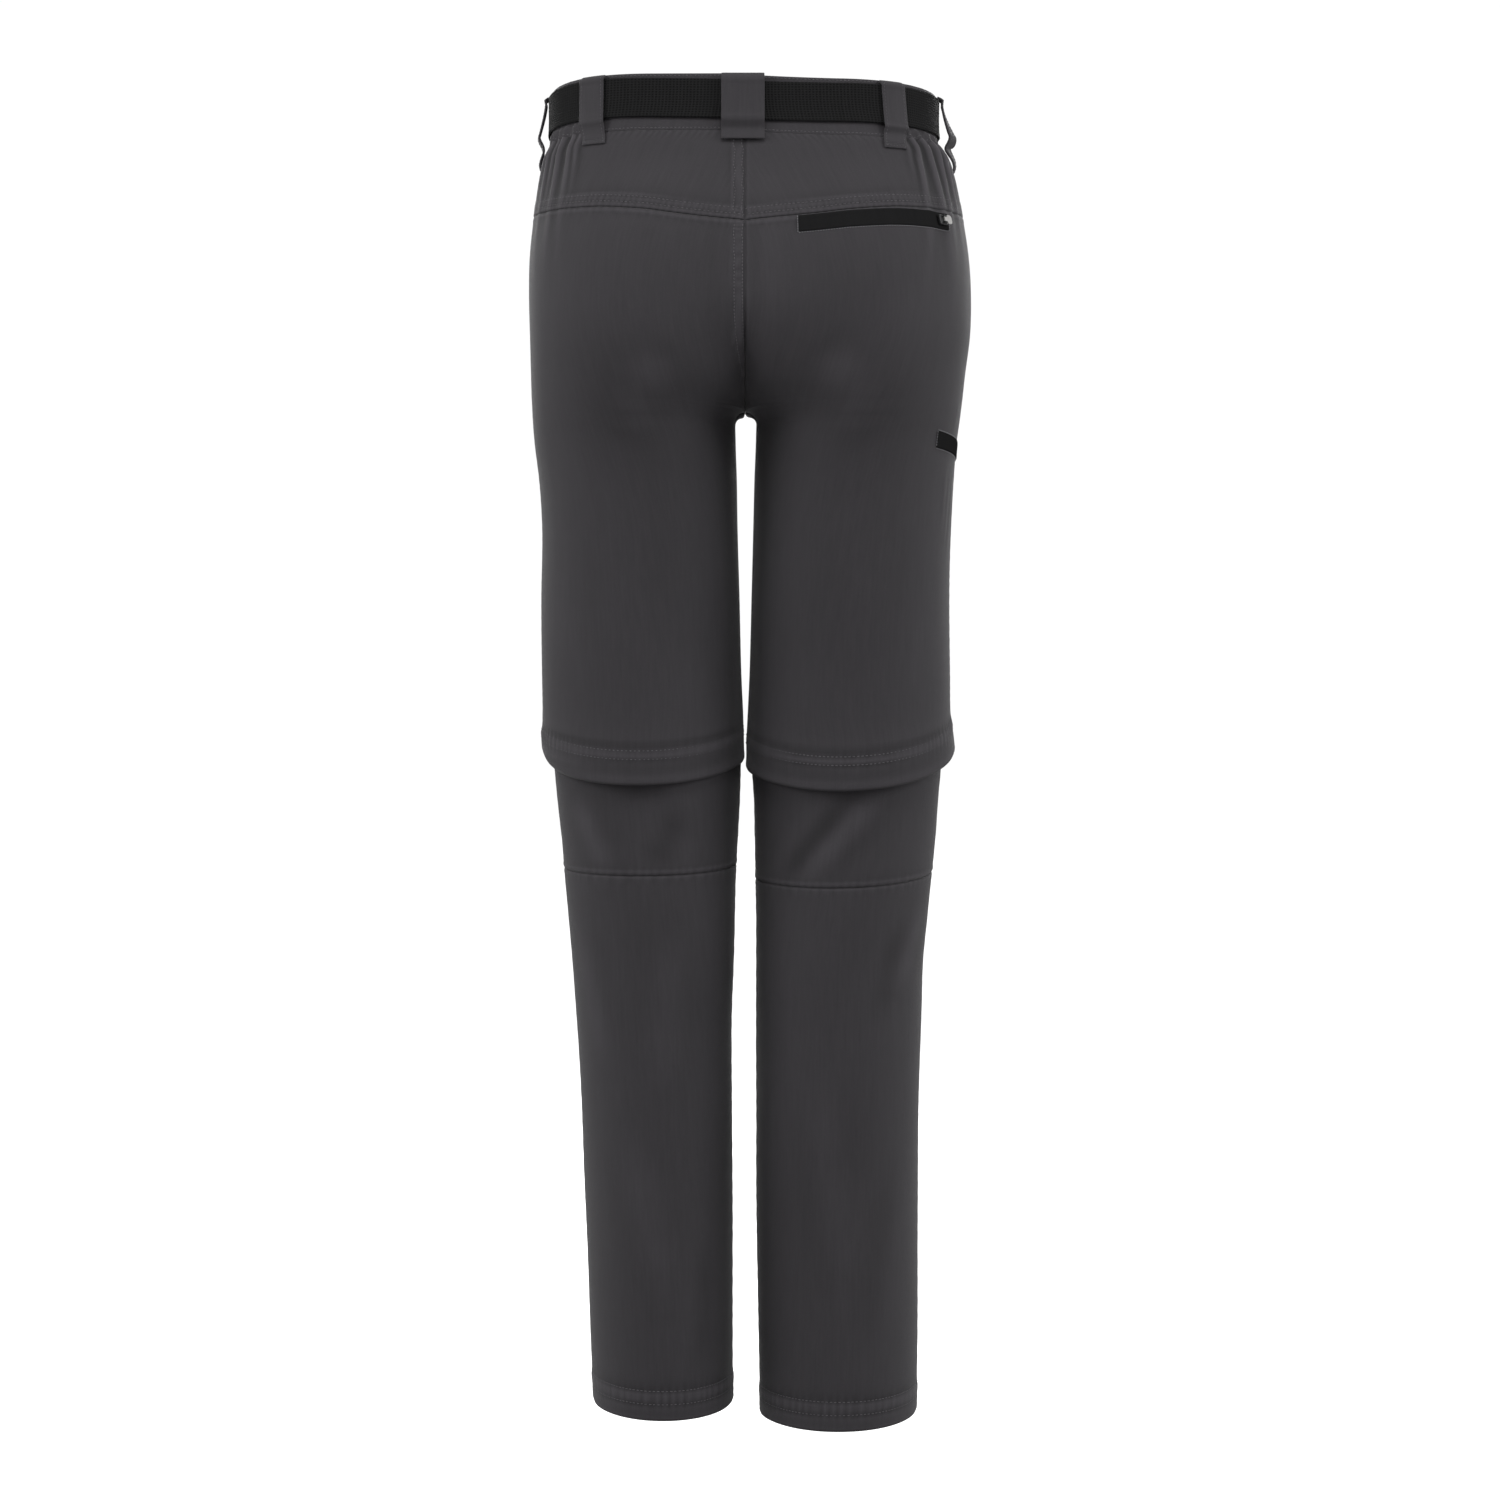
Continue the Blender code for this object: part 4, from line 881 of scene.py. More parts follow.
def flap_relief(panel, u, z, s):
    """Stitched band, free flap and its edge, measured up from the edge."""
    above = z - line(FLAP_EDGE[panel.side], panel.face, u)
    relief = 0.4 * hump(above - 4.0, 4.0) - 0.7 * hump(above, 1.2)
    for at in FLAP_STITCH:
        relief = relief + stitch_channel(above, s, at, 0.4)
    relief = relief + 0.3 * hump(above - 22.8, 3.4) - 0.25 * hump(above - 29.5, 3.0)
    outer = hump(s, 48.0)
    return relief + puckers(above, s, 23.5, 6.5, 0.05 + 0.6 * outer, pitch=6.0)


def back_relief(panel, u, z, s):
    below = yoke_line(u) - z
    relief = trunk_relief(panel, u, s, z) + centre_band(panel, s, z) * (z > FORK_Z)
    relief = relief + cross_seam(below, s) + 0.25 * hump(below - 2.8, 1.4)
    return relief + flap_relief(panel, u, z, s) + inseam_relief(panel, s, z)


def inseam_relief(panel, s, z):
    """Groove and light puckers at the inseam, below the fork."""
    inner = inner_distance(panel, s, z)
    return puckers(inner, z, 0.0, 6.0, 0.12) * (z <= FORK_Z)


def front_relief(panel, u, z, s):
    below = waist_bottom(panel.side, "front", u) - z
    relief = trunk_relief(panel, u, s, z) + centre_band(panel, s, z) * (z > FORK_Z) * (z < -208.0)
    relief = relief + cross_seam(below, s, 0.2)
    return relief + flap_relief(panel, u, z, s) + inseam_relief(panel, s, z)


def back_grid(panel):
    us = arc_columns(panel, -200.0, 3.1)
    fixed = trunk_rows("back", -112.6, -534.0, 3.2)
    top, bottom = yoke_line(us) - HALF_GAP, line(FLAP_EDGE[panel.side], "back", us)
    return us, rows_between(top, bottom, fixed, us)


def front_grid(panel):
    us = arc_columns(panel, -150.0, 2.8)
    fixed = trunk_rows("front", -53.5, -520.5, 3.3)
    top = waist_bottom(panel.side, "front", us) - 2 * HALF_GAP
    return us, rows_between(top, line(FLAP_EDGE[panel.side], "front", us), fixed, us)


for half in ("left", "right"):
    edge = FLAP_EDGE[half]
    for face, top, relief, grid in (("back", yoke_line, back_relief, back_grid),
                                    ("front", None, front_relief, front_grid)):
        name = f"{face}_panel_{half}"
        panels[name] = Panel(name, BODY, half, face, top, edge, relief, grid)
        panels[name].build()

# %% [markdown]
# ### Knee bands and lower legs
# The lower leg starts under the flap, a little narrower than the thigh. A seam crosses it at the
# knee, and the hem is turned up and held by two rows of stitching.

# %% Build the lower legs
HEM_STITCH = (12.5, 22.5)


def leg_relief(panel, u, z, s):
    side, face = panel.side, panel.face
    inner = inner_distance(panel, s, z)
    calm = ease(inner / 22.0) * 0.85 + 0.15
    relief = (creases(side, face, s, z) + drape(side, face, s, z)) * calm
    relief = relief + side_seam(s, z) + inseam_relief(panel, s, z)
    from_knee = z - line(KNEE_SEAM[side], face, u)
    relief = relief + cross_seam(from_knee, s, 0.6) + 0.3 * hump(from_knee - 3.0, 1.5)
    above_hem = z - line(HEM_LINE[side], face, u)
    relief = relief + raised_band(HEM_STITCH[1] + 1.0 - above_hem, 40.0, 0.5)
    for at in HEM_STITCH:
        relief = relief + stitch_channel(above_hem, s, at, 0.35)
    return relief + puckers(above_hem, s, 17.5, 7.0, 0.2, pitch=5.4) - 0.6 * hump(above_hem, 1.2)


def knee_grid(panel):
    us = arc_columns(panel, -560.0, 3.2)
    top = line(FLAP_EDGE[panel.side], panel.face, us) + FLAP_OVERLAP
    bottom = line(KNEE_SEAM[panel.side], panel.face, us) + HALF_GAP
    return us, top + (bottom - top) * (dense_span(90.0, 3.3) / 90.0)[:, None]


def lower_grid(panel):
    us = arc_columns(panel, -780.0, 3.2)
    top = line(KNEE_SEAM[panel.side], panel.face, us) - HALF_GAP
    bottom = line(HEM_LINE[panel.side], panel.face, us)
    return us, top + (bottom - top) * (dense_span(418.0, 3.5) / 418.0)[:, None]


for half in ("left", "right"):
    for face in ("back", "front"):
        for kind, grid in (("knee_band", knee_grid), ("lower_leg", lower_grid)):
            name = f"{kind}_{face}_{half}"
            panels[name] = Panel(name, LEG, half, face, None, None, leg_relief, grid)
            panels[name].build()

# %% [markdown]
# ## Waistband and belt
# The waistband is cut in three: one back and two fronts. Only a narrow strip shows above the belt
# and another below it, where the elastic's folds begin. The belt is a 30 mm strip of ribbed
# webbing, two millimetres thick, pulled flat against the waistband.

# %% Waistband
BELT_WALL = 2.0
BELT_RISE = 3.4
BELT_RISE_REACH = 34.0


def waist_relief(panel, u, z, s):
    """Rolled top edge, seam at the foot, elastic folds below the belt, side seams at the front."""
    below_top = waist_top(panel.side, panel.face, u) - z
    above_foot = z - waist_bottom(panel.side, panel.face, u)
    relief = -0.5 * hump(below_top, 0.8) + cross_seam(above_foot, s, 0.2)
    relief = relief + gathers(panel.side, panel.face, s, z, belt_bottom(panel.side, panel.face, u))
    return relief + stitch_channel(above_foot, s, 1.9, 0.12)


WAIST_PARTS = {"waistband_back": (("right", "back", True), ("left", "back", False)),
               "waistband_front_left": (("left", "front", True),),
               "waistband_front_right": (("right", "front", False),)}
for name, parts in WAIST_PARTS.items():
    grids, flats, reach = [], [], 0.0
    for side, face, rising in parts:
        band = Panel(name, BODY, side, face, None, None, waist_relief, None)
        panels[f"waist_{face}_{side}"] = band
        us = arc_columns(band, -30.0, 1.9)
        us = us if rising else us[::-1]
        top, foot = waist_top(side, face, us), waist_bottom(side, face, us)
        heights = top + (foot - top) * (dense_span(WAISTBAND_WIDTH, 1.7) / WAISTBAND_WIDTH)[:, None]
        u = np.broadcast_to(us, heights.shape)
        points, _ = band.skin(u, heights)
        points[..., 1] += FACE_SIGN[face] * HALF_GAP * (u == 0.0)
        s = arc(BODY, side, face, u, heights)
        along = s if rising else float(s.max()) - s
        grids.append(points)
        flats.append(np.stack([along + reach, heights], axis=-1))
        reach += float(s.max())
    points = np.concatenate([grids[0]] + [g[:, 1:] for g in grids[1:]], axis=1)
    uv = np.concatenate([flats[0]] + [f[:, 1:] for f in flats[1:]], axis=1)
    if name == "waistband_back":
        points[:, grids[0].shape[1] - 1, 0] = 0.0
    obj = grid_object(name + "_cloth", points, uv, cloth_material)
    wall(obj, WALL)
    finish_cloth(obj, points, [name], "stretched")

# %% Belt
BELT_ROWS = np.concatenate([[0.0, 0.25, 0.7, 1.3], np.linspace(2.2, 27.8, 22), [28.7, 29.3, 29.75, 30]])


def belt_grid():
    """Closed ring: base surface under the belt, moved out, with softly rounded edges."""
    grids, flats, reach = [], [], 0.0
    for side, face, rising in (("left", "back", False), ("left", "front", True),
                               ("right", "front", False), ("right", "back", True)):
        us = np.linspace(0.0, 1.0, 97)
        us = us if rising else us[::-1]
        heights = belt_top(side, face, us) - BELT_ROWS[:, None]
        u = np.broadcast_to(us, heights.shape)
        base, normal = surface(BODY, side, face, u, heights), surface_normal(BODY, side, face, u, heights)
        rise = BELT_RISE * np.exp(-(base[..., 0] / BELT_RISE_REACH) ** 2) * (face == "front")
        edge = np.minimum(BELT_ROWS, BELT_WIDTH - BELT_ROWS)[:, None]
        s = arc(BODY, side, face, u, heights)
        ribs = 0.07 * np.cos(2 * np.pi * (BELT_ROWS[:, None] - 1.0) / 2.8)
        lift = 0.3 + BELT_WALL + rise - 0.55 * hump(edge, 0.45) + ribs
        grids.append(base + normal * lift[..., None])
        along = s if rising else float(s.max()) - s
        flats.append(np.stack([along + reach, heights], axis=-1))
        reach += float(s.max())
    points = np.concatenate([g[:, :-1] for g in grids[:-1]] + [grids[-1]], axis=1)
    uv = np.concatenate([f[:, :-1] for f in flats[:-1]] + [flats[-1]], axis=1)
    points[:, (0, -1), 0] = 0.0
    return points, uv


belt_points, belt_uv = belt_grid()
belt = grid_object("belt_webbing_strap", belt_points, belt_uv, webbing_material, closed=True)
wall(belt, BELT_WALL)
finish_cloth(belt, belt_points, ["belt"], "stretched", slot="webbing")

# %% [markdown]
# ## Belt loops
# A loop is a folded strip, stitched down at the top and a little below the waistband, and it
# stands over the belt between. The side loops bow away from the waist, so light shows through.

# %% Belt loops
LOOP_WALL = 1.4
# Name, side, face, distance from the centre plane (0 at a side seam), width, lowest point,
# how far its forward and its rear edge stand off, outward lean of its foot
LOOP_ROWS = (
    ("belt_loop_rear_left", "left", "back", 113.5, 17.5, -51.0, 0.4, 0.4, 0.0),
    ("belt_loop_rear_right", "right", "back", 109.5, 17.0, -54.5, 0.4, 0.4, 3.6),
    ("belt_loop_side_left", "left", "back", 0.0, 14.0, -55.0, 6.5, 5.5, 0.0),
    ("belt_loop_side_right", "right", "back", 0.0, 14.0, -57.0, 12.3, 6.4, 0.0),
    ("belt_loop_front_left", "left", "front", 98.0, 14.0, -57.0, 0.4, 0.4, 0.0),
    ("belt_loop_front_right", "right", "front", 97.0, 14.0, -57.0, 0.4, 0.4, 0.0),
    ("belt_loop_centre_back", "left", "back", 1.4, 31.5, -48.0, 0.3, 0.3, 0.0),
)
LOOP_SAMPLES = np.linspace(0.0, 0.6, 121)
loop_paths = {}


def loop_profile(top, belt_edge, bottom):
    """Distance from the cloth down a loop: close at both ends, over the belt between."""
    rest, over = 0.3 + LOOP_WALL, 0.3 + BELT_WALL + 0.8 + LOOP_WALL
    low = belt_edge - BELT_WIDTH
    heights = np.array([top, belt_edge + 0.5, belt_edge - 4.0, belt_edge - 11.0, belt_edge - 19.0,
                        low + 4.0, low - 0.8, low - 3.4, low - 6.0, bottom])
    distance = np.array([rest, over, over, over, over, over, over, (rest + over) / 2, rest, rest])
    return table(("z", "distance"), np.stack([heights, distance], axis=1).tolist())


def loop_places(side, face, x, width, lean, heights, share, across):
    """Places (u) across a loop, straight down at a distance from the centre plane; at a side
    seam it starts on the seam."""
    if x == 0.0:
        path = surface(BODY, side, face, LOOP_SAMPLES, heights[len(heights) // 2])
        length = np.concatenate([[0.0], np.cumsum(np.linalg.norm(np.diff(path, axis=0), axis=1))])
        return np.interp(across, length, LOOP_SAMPLES) + 0.0 * heights[:, None]
    xs = np.abs(surface(BODY, side, face, LOOP_SAMPLES, heights[:, None])[..., 0])
    wanted = x + width / 2 - across + lean * share[:, None]
    return np.array([np.interp(-w, -row, LOOP_SAMPLES) for w, row in zip(wanted, xs)])


def loop_grid(side, face, x, width, bottom, forward, rear, lean):
    """Points and normals of a loop, rows down it and columns across it, outwards."""
    centre = x < 10.0 and x > 0.0
    edge_x = np.abs(surface(BODY, side, face, LOOP_SAMPLES, 0.0)[:, 0])
    u = 1.0 if centre else 0.0 if x == 0.0 else float(np.interp(-x, -edge_x, LOOP_SAMPLES))
    top = float(waist_top(side, face, u)) - 1.5 * centre
    profile = loop_profile(top, float(belt_top(side, face, u)), bottom)
    down = dense_span(top - bottom, 1.1, edge=(0.35, 0.9, 1.7, 2.6))
    across = dense_span(width, 1.0, edge=(0.3, 0.75, 1.25, 1.8, 2.4))
    rows, share = top - down, down / down[-1]
    heights = rows[:, None] + 0.0 * across
    distance = read(profile, "z", "distance", heights)
    if centre:
        xs = x - width / 2 + across + 0.0 * heights
        base = np.stack([xs, read(BODY, "z", "back", heights), heights], axis=-1)
        normal = np.zeros_like(base)
        normal[..., 1] = 1.0
        base, normal = base[:, ::-1], normal[:, ::-1]
        lift = distance + forward * np.sin(np.pi * share)[:, None]
    else:
        grid_u = loop_places(side, face, x, width, lean, rows, share, across)
        stand_off = forward + (rear - forward) * across / width
        if outward(side, face) < 0:
            grid_u, stand_off = grid_u[:, ::-1], stand_off[::-1]
        base = surface(BODY, side, face, grid_u, heights)
        normal = surface_normal(BODY, side, face, grid_u, heights)
        s = arc(BODY, side, face, grid_u, heights)
        bow = np.sin(np.pi * share ** 1.6)[:, None] * stand_off
        crest = gathers(side, face, s, heights, belt_bottom(side, face, grid_u)).max(axis=1)
        held = share ** 4 if x == 0.0 else 1.0
        lift = distance + (crest * held)[:, None] + bow
    edge = np.minimum(across, width - across)
    relief = -0.45 * hump(edge, 0.5) + 0.12 * hump(edge - 2.4, 1.0) - 0.16 * hump(edge - 1.6, 0.45)
    end = np.minimum(down, down[-1] - down)[:, None]
    relief = relief - 0.4 * hump(end, 0.6) - 0.15 * hump(end - 1.8, 0.4)
    return base + normal * (lift + relief)[..., None], normal, across, down


for name, *shape in LOOP_ROWS:
    points, normal, across, down = loop_grid(*shape)
    uv = np.stack(np.broadcast_arrays(across[None, :], -down[:, None]), axis=-1)
    obj = grid_object(name + "_cloth", points, uv, cloth_material)
    wall(obj, LOOP_WALL)
    finish_cloth(obj, points, [name], "stretched")
    loop_paths[name] = (points, normal, across, down)

# %% [markdown]
# ## Leg zips
# A ring of zip tape joins the thigh to the lower leg under each flap. The tape is woven, and the
# coil is many small teeth in two rows that mesh in the middle. Unzipped all round, it lets the
# lower leg off.

# %% Leg zips with their teeth
ZIP_TAPE_WIDTH = 18.0
TAPE_WALL = 0.9
TOOTH_PITCH = 2.4


def block_template(size):
    """Corners and faces of a small block with its long edges chamfered at the top."""
    x, y, z = (v / 2 for v in size)
    corners = np.array([(sx * x, sy * y * (0.7 if sz > 0 else 1.0), sz * z)
                        for sx in (-1, 1) for sy in (-1, 1) for sz in (-1, 1)])
    faces = np.array([(0, 1, 3, 2), (4, 6, 7, 5), (0, 4, 5, 1), (2, 3, 7, 6), (0, 2, 6, 4),
                      (1, 5, 7, 3)])
    return corners, faces


def copies(corners, faces, origins, x_axes, y_axes, z_axes):
    """Places a template on every origin at once: each corner times the three axes, summed."""
    axes = np.stack([x_axes, y_axes, z_axes], axis=1)
    points = origins[:, None, :] + np.einsum("ci,nij->ncj", corners, axes)
    offset = (np.arange(len(origins)) * len(corners))[:, None, None]
    return points.reshape(-1, 3), (faces[None] + offset).reshape(-1, faces.shape[1])


def walk(points, normals, pitch, start=0.5):
    """Even places along a path, with the direction and normal at each."""
    steps = np.linalg.norm(np.diff(points, axis=0), axis=1)
    length = np.concatenate([[0.0], np.cumsum(steps)])
    at = np.arange(pitch * start, length[-1], pitch)
    place = np.stack([np.interp(at, length, points[:, k]) for k in range(3)], axis=1)
    normal = np.stack([np.interp(at, length, normals[:, k]) for k in range(3)], axis=1)
    ahead = np.stack([np.interp(at + 0.4, length, points[:, k]) for k in range(3)], axis=1)
    behind = np.stack([np.interp(at - 0.4, length, points[:, k]) for k in range(3)], axis=1)
    along = ahead - behind
    along /= np.linalg.norm(along, axis=1, keepdims=True)
    normal -= along * np.sum(normal * along, axis=1, keepdims=True)
    normal /= np.linalg.norm(normal, axis=1, keepdims=True)
    return place, along, np.cross(normal, along), normal


for half in ("left", "right"):
    rise = np.linspace(1.0, 0.0, 13)[:, None]
    grids, normals_list = [], []
    order = ("back", "front") if half == "left" else ("front", "back")
    for face, flipped in ((order[0], True), (order[1], False)):
        us = arc_columns(panels[f"{face}_panel_{half}"], -510.0, 3.6)
        us = us[::-1] if flipped else us
        heights = line(FLAP_EDGE[half], face, us) + FLAP_OVERLAP + 0.3 + ZIP_TAPE_WIDTH * rise
        u = np.broadcast_to(us, heights.shape)
        high, normal = panels[f"{face}_panel_{half}"].skin(u, heights, -(WALL + 0.7))
        low, _ = panels[f"knee_band_{face}_{half}"].skin(u, heights)
        grids.append(low + (high - low) * ease(rise)[..., None])
        normals_list.append(normal)
    points = np.concatenate([grids[0][:, :-1], grids[1]], axis=1)
    normal = np.concatenate([normals_list[0][:, :-1], normals_list[1]], axis=1)
    round_length = np.concatenate([[0.0], np.cumsum(np.linalg.norm(np.diff(points[6], axis=0), axis=1))])
    uv = np.stack(np.broadcast_arrays(round_length[None, :], ZIP_TAPE_WIDTH * rise), axis=-1)
    ring = grid_object(f"leg_zip_{half}_tape", points, uv, tape_material, closed=True)
    wall(ring, TAPE_WALL)
    finish_cloth(ring, points, ["leg_zip_" + half], "stretched", slot="zip_tape")
    teeth_points, teeth_faces, total = [], [], 0
    for sign in (-1, 1):
        origins, along, across, out = walk(points[6], normal[6], TOOTH_PITCH, 0.25 + 0.25 * sign)
        shape, faces = block_template((1.1, 2.2, 0.9))
        placed, indices = copies(shape, faces, origins + across * 0.7 * sign + out * 0.2, along, across,
                                 out)
        teeth_points.append(placed)
        teeth_faces.append(indices + total)
        total += len(placed)
    teeth = mesh_object(f"leg_zip_{half}_teeth", np.concatenate(teeth_points),
                        np.concatenate(teeth_faces), black_metal)
    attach(teeth, "trousers")
    print("teeth on the", half, "leg zip:", total // 8)

# %% [markdown]
# ## Pocket zips
# On the wearer's right one zip lies in the seam under the yoke and another runs round the outer
# thigh. Each is a smooth coated tape set in a stitched slot, with a fine join down its middle.

# %% Pocket zip bands
TAPE_LIFT = 1.05


def zip_band(name, parts, width, node):
    """Band on the soft shape of the panels: edges pressed in, a fine join down the middle."""
    across = dense_span(width, 0.9, edge=(0.25, 0.6, 1.1, 1.7))
    grids, flats, reach = [], [], 0.0
    for face, us, middle in parts:
        heights = middle + width / 2 - across[:, None]
        u = np.broadcast_to(us, heights.shape)
        s = arc(BODY, "right", face, u, heights)
        edge = np.minimum(across, width - across)[:, None]
        relief = TAPE_LIFT - 0.45 * hump(edge, 0.5) - 0.3 * hump(across[:, None] - width / 2, 0.35)
        points, normal = panels[f"{face}_panel_right"].skin(u, heights, relief)
        grids.append(points)
        along = np.abs(s - s[:, :1])
        flats.append(np.stack([along + reach, heights], axis=-1))
        reach += float(along.max())
    points = np.concatenate([grids[0]] + [g[:, 1:] for g in grids[1:]], axis=1)
    uv = np.concatenate([flats[0]] + [f[:, 1:] for f in flats[1:]], axis=1)
    obj = grid_object(name, points, uv, tape_material)
    wall(obj, TAPE_WALL)
    finish_cloth(obj, points, [node], "stretched", slot="zip_tape")
    return points


BACK_ZIP_WIDTH, BACK_ZIP_U = 12.6, (0.225, 0.665)
THIGH_ZIP_WIDTH, THIGH_ZIP_U, THIGH_ZIP_Z = 12.5, {"front": 0.20, "back": 0.23}, (-279.0, -271.2)
us = np.linspace(*BACK_ZIP_U, 61)
drop = 1.0 + 2.4 * np.linspace(1.0, 0.0, 61) ** 2
back_zip = zip_band("back_pocket_zip_band", [("back", us, yoke_line(us) - drop - BACK_ZIP_WIDTH / 2)],
                    BACK_ZIP_WIDTH, "back_pocket_zip")
middle_z = sum(THIGH_ZIP_Z) / 2
thigh_parts = (
    ("front", np.linspace(THIGH_ZIP_U["front"], 0.0, 40), np.linspace(THIGH_ZIP_Z[0], middle_z, 40)),
    ("back", np.linspace(0.0, THIGH_ZIP_U["back"], 40), np.linspace(middle_z, THIGH_ZIP_Z[1], 40)))
thigh_zip = zip_band("thigh_pocket_zip_band", thigh_parts, THIGH_ZIP_WIDTH, "thigh_pocket_zip")

# %% Fly placket
FLY_WIDTH, FLY_BOTTOM, FLY_CURVE, FLY_LIFT = 38.0, -205.0, 49.4, 1.75


def fly_grid(inset=0.0, across=None, count=70):
    """Placket on the left front: a strip whose outer edge curves in to the centre at its foot."""
    across = np.linspace(0.0, 1.0, 18) if across is None else across
    top = float(waist_bottom("left", "front", 1.0)) - 0.7
    length = top - FLY_BOTTOM
    down = np.linspace(0.0, length, count)[:, None]
    taper = np.sqrt(1.0 - np.clip((down - length + FLY_CURVE) / FLY_CURVE, 0.0, 0.98) ** 2)
    xs = HALF_GAP + np.maximum((FLY_WIDTH - HALF_GAP) * taper - inset, 0.0) * across
    heights = top - down + 0.0 * xs
    inner, peak = inner_x(BODY, "left", heights), middle_x(BODY, "left", heights)
    us = 0.5 + np.arcsin(np.clip((peak - xs) / (peak - inner), 0.0, 1.0)) / np.pi
    s = arc(BODY, "left", "front", us, heights)
    calm = ease(xs / 26.0)
    edge = (FLY_WIDTH - HALF_GAP) * taper - xs
    relief = drape("left", "front", s, heights) * calm - 0.4 * hump(edge, 0.8)
    base = surface(BODY, "left", "front", us, heights)
    normal = surface_normal(BODY, "left", "front", us, heights)
    return (base + normal * (FLY_LIFT + relief)[..., None])[:, ::-1], normal[:, ::-1], xs, heights


points, _, xs, heights = fly_grid()
uv = np.stack([xs[:, ::-1], heights], axis=-1)
fly = grid_object("fly_placket_cloth", points, uv, cloth_material)
wall(fly, WALL)
finish_cloth(fly, points, ["fly_placket"], "hung")

# %% [markdown]
# ## Topstitching
# Every seam that lies flat is held by rows of lockstitch. Each stitch is a short bead of thread
# that dips into the cloth at both ends, so rows of small capsules on the finished skin read as
# sewing from close by and as a fine broken line from afar. Thread is a shade lighter than the
# cloth. Bar tacks at the ends of the loops are the same beads set close together.

# %% Stitch builder
THREAD_RADIUS = 0.27
STITCH_LENGTH = 0.74


def capsule_template(length, radius, sides=6):
    """A bead in rings along x: narrow at both ends, which dip, closed by one point each."""
    angles = np.linspace(0.0, 2 * np.pi, sides, endpoint=False)
    corners = [(-length / 2, 0.0, -radius)]
    for share, size in ((-0.62, 0.75), (0.0, 1.0), (0.62, 0.75)):
        lift = radius * (0.5 - 1.1 * share * share)
        corners += [(share * length / 2, radius * size * math.cos(a), lift + radius * size * math.sin(a))
                    for a in angles]
    corners.append((length / 2, 0.0, -radius))
    ring = np.arange(sides)
    following = (ring + 1) % sides
    quads = [np.stack([1 + k * sides + ring, 1 + (k + 1) * sides + ring,
                       1 + (k + 1) * sides + following, 1 + k * sides + following], axis=1)
             for k in (0, 1)]
    last = len(corners) - 1
    first_cap = np.stack([0 * ring, 1 + ring, 1 + following], axis=1)
    last_cap = np.stack([0 * ring + last, 1 + 2 * sides + following, 1 + 2 * sides + ring], axis=1)
    return np.array(corners), np.concatenate(quads), np.concatenate([first_cap, last_cap])


def sew(name, runs, pitch=STITCH_PITCH, radius=THREAD_RADIUS, thread=thread_material):
    """One mesh of all the stitches of some runs; a run is points and normals along a path."""
    shape, quads, caps = capsule_template(pitch * STITCH_LENGTH, radius)
    parts = [walk(p, n, pitch) for p, n in runs]
    origins, along, across, out = (np.concatenate([part[k] for part in parts]) for k in range(4))
    points, all_quads = copies(shape, quads, origins, along, across, out)
    _, all_caps = copies(shape, caps, origins, along, across, out)
    obj = mesh_object(name, points, [all_quads, all_caps], thread)
    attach(obj, "trousers")
    print(f"{name}: {len(origins)} stitches")
    return obj


def row_across(panel, height, u_from=0.004, u_to=0.996, lift=0.0):
    """Run along a line across the panel; height is a function of u."""
    u = np.linspace(u_from, u_to, 260)
    return panel.skin(u, height(u), lift)


def row_down(panel, z_from, z_to, distance, from_inner=True, lift=0.0):
    """Run down the panel at a distance along the cloth from its inner or its side edge."""
    z = np.linspace(z_from, z_to, max(int(abs(z_to - z_from) / 3), 8))
    total = arc(panel.data, panel.side, panel.face, np.ones_like(z), z)
    target = total - distance if from_inner else distance + 0.0 * z
    u = np.array([float(u_at(panel.data, panel.side, panel.face, h, t)) for h, t in zip(z, target)])
    return panel.skin(u, z, lift)


# %% Sew the seams
for half in ("left", "right"):
    yoke, back, front = (panels[f"{kind}_{half}"] for kind in ("back_yoke", "back_panel", "front_panel"))
    runs = [row_across(yoke, lambda u, at=at: yoke_line(u) + at) for at in YOKE_STITCH]
    sew("yoke_stitches_" + half, runs)
    runs = []
    for panel in (back, front):
        edge = FLAP_EDGE[half]
        runs += [row_across(panel, lambda u, at=at, f=panel.face: line(edge, f, u) + at)
                 for at in FLAP_STITCH]
    sew("flap_stitches_" + half, runs)
    runs = []
    for face in ("back", "front"):
        panel = panels[f"lower_leg_{face}_{half}"]
        runs += [row_across(panel, lambda u, at=at, f=face: line(HEM_LINE[half], f, u) + at)
                 for at in HEM_STITCH]
    sew("hem_stitches_" + half, runs)
    runs = []
    for face in ("back", "front"):
        band = panels[f"waist_{face}_{half}"]
        runs.append(row_across(band, lambda u, f=face: waist_bottom(half, f, u) + 1.9))
        runs.append(row_across(band, lambda u, f=face: waist_top(half, f, u) - 1.7))
    sew("waistband_stitches_" + half, runs, pitch=3.0)

runs = [row_down(panels["back_yoke_left"], -43.0, -110.5, at) for at in CENTRE_STITCH]
runs += [row_down(panels["back_panel_left"], -115.0, -226.0, at) for at in CENTRE_STITCH]
sew("centre_back_stitches", runs, pitch=2.6)

runs, tacks = [], []
for name, (points, normal, across, down) in loop_paths.items():
    for inset in (1.6, across[-1] - 1.6):
        column = int(np.argmin(np.abs(across - inset)))
        runs.append((points[1:-1, column], normal[1:-1, column]))
    row = int(np.argmin(np.abs(down - (down[-1] - 1.8))))
    runs.append((points[row, 1:-1], normal[row, 1:-1]))
    for offset in (2.8, 3.5, 4.2):
        row = int(np.argmin(np.abs(down - (down[-1] - offset))))
        tacks.append((points[row, 2:-2], normal[row, 2:-2]))
sew("loop_stitches", runs, pitch=2.6, radius=0.2)
sew("loop_bar_tacks", tacks, pitch=0.9, radius=0.2)

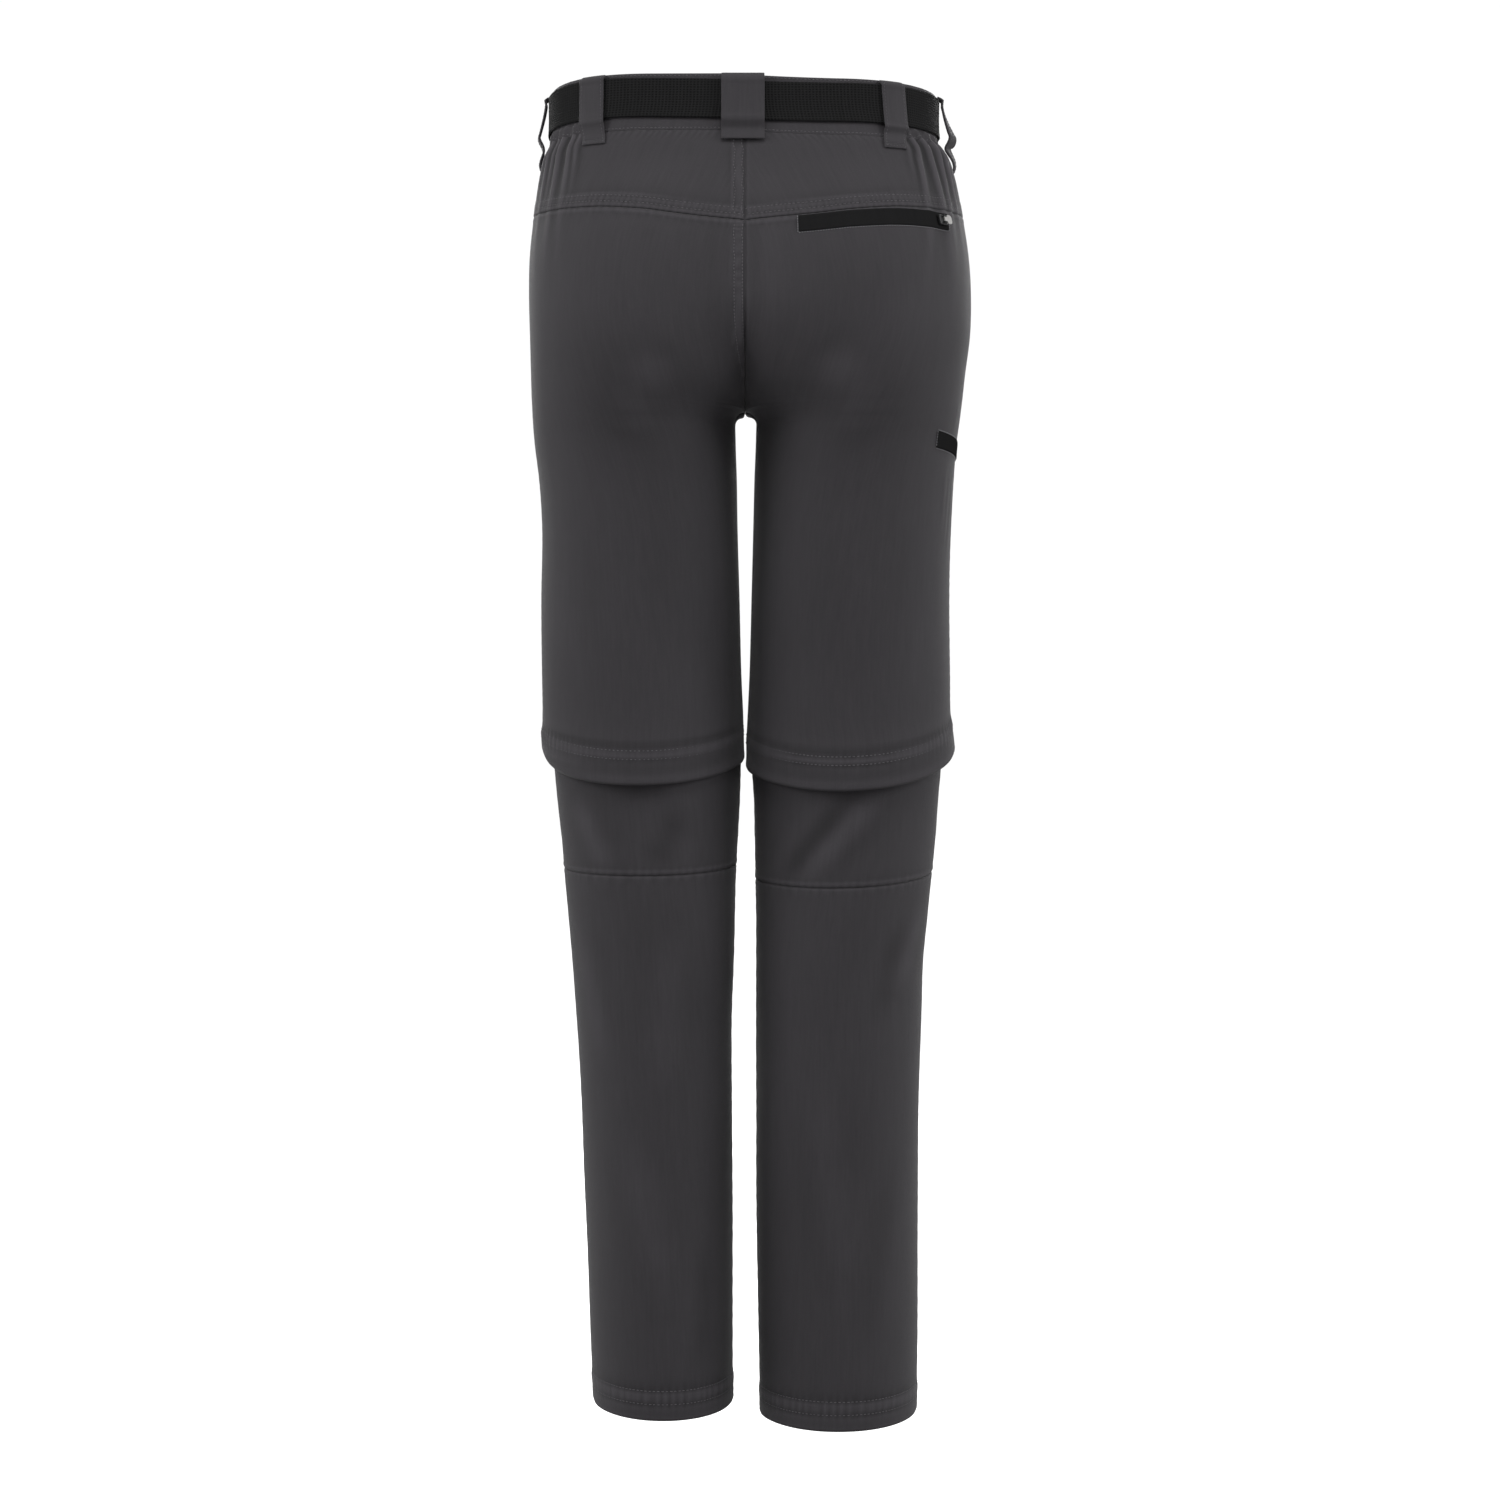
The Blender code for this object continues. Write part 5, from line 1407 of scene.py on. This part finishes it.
points, normal, xs, heights = fly_grid(inset=5.0, across=np.array([0.98, 1.0]))
outer_edge = points[:-2, 0]
sew("fly_stitches", [(outer_edge, normal[:-2, 0])])


def outline_run(points, gap):
    """Run round a band just outside its edge, with the normals of the band."""
    across = np.gradient(points, axis=1)
    down = np.gradient(points, axis=0)
    normal = np.cross(across, down)
    normal /= np.linalg.norm(normal, axis=-1, keepdims=True)
    side_step = down / np.linalg.norm(down, axis=-1, keepdims=True) * gap
    end_step = across / np.linalg.norm(across, axis=-1, keepdims=True) * gap
    sink = normal * 0.3
    top, foot = points[0] - side_step[0] - sink[0], points[-1] + side_step[-1] - sink[-1]
    first, last = points[:, 0] - end_step[:, 0] - sink[:, 0], points[:, -1] + end_step[:, -1] - sink[:, -1]
    return [(top, normal[0]), (foot, normal[-1]), (first, normal[:, 0]), (last, normal[:, -1])]


sew("back_pocket_stitches", outline_run(back_zip, 0.7)[1:], 2.0, 0.36, pocket_thread)
sew("thigh_pocket_stitches", outline_run(thigh_zip, 0.7), 2.0, 0.36, pocket_thread)

# %% [markdown]
# ## Camera, floor and light
# The trousers are seen straight from behind, level with the knees' upper half, with a long lens.
# The floor is plain and pale. The light is soft: a white room, a large panel on each side that
# catches the outer legs, and a weak one above and behind the camera.

# %% Camera
camera_data = bpy.data.cameras.new("camera")
camera_data.lens = 85.0
camera_data.sensor_width = 36.0
camera_data.clip_end = 40.0
camera = bpy.data.objects.new("camera", camera_data)
camera.location = (-0.0039, 2.7625, -0.507)
camera.rotation_euler = (math.pi / 2, 0.0, math.pi)
bpy.context.scene.collection.objects.link(camera)
bpy.context.scene.camera = camera

# %% Floor and light
floor_material = bpy.data.materials.new("pale_floor")
floor_material.use_nodes = True
floor_shader = floor_material.node_tree.nodes["Principled BSDF"]
floor_shader.inputs["Base Color"].default_value = (0.42, 0.42, 0.42, 1.0)
floor_shader.inputs["Roughness"].default_value = 0.9
floor_shader.inputs["Emission Color"].default_value = (1.0, 1.0, 1.0, 1.0)
floor_tree = floor_material.node_tree
floor_seen = floor_tree.nodes.new("ShaderNodeLightPath").outputs["Is Camera Ray"]
floor_tree.links.new(math_node(floor_tree, "MULTIPLY", floor_seen, 0.92),
                     floor_shader.inputs["Emission Strength"])
bpy.ops.mesh.primitive_plane_add(size=40.0, location=(0.0, 0.0, -1.06))
floor = bpy.context.active_object
floor.name = "floor"
floor.data.materials.append(floor_material)

world = bpy.data.worlds.new("white_room")
world.use_nodes = True
world.node_tree.nodes["Background"].inputs["Color"].default_value = (1.0, 1.0, 1.0, 1.0)
ROOM_LIGHT = 0.57
seen = world.node_tree.nodes.new("ShaderNodeLightPath").outputs["Is Camera Ray"]
brightness = math_node(world.node_tree, "MULTIPLY_ADD", seen, 1.02 - ROOM_LIGHT, ROOM_LIGHT)
world.node_tree.links.new(brightness, world.node_tree.nodes["Background"].inputs["Strength"])
bpy.context.scene.world = world
bpy.context.scene.view_settings.view_transform = "Standard"


def soft_panel(name, place, size, power, target=(0.0, 0.0, -0.5)):
    """Large square area light at a place, turned to the target."""
    data = bpy.data.lights.new(name, "AREA")
    data.shape = "SQUARE"
    data.size = size
    data.energy = power
    light = bpy.data.objects.new(name, data)
    light.location = place
    light.rotation_euler = (Vector(target) - Vector(place)).to_track_quat("-Z", "Y").to_euler()
    bpy.context.scene.collection.objects.link(light)
    return light


soft_panel("left_panel", (2.2, 0.9, 0.45), 1.2, 36.0)
soft_panel("right_panel", (-2.2, 0.9, 0.45), 1.2, 36.0)
soft_panel("top_panel", (0.0, 1.4, 1.5), 1.0, 24.0)
soft_panel("front_left_panel", (0.8, -2.4, 0.6), 1.2, 34.0)
soft_panel("front_right_panel", (-0.8, -2.4, 0.6), 1.2, 34.0)
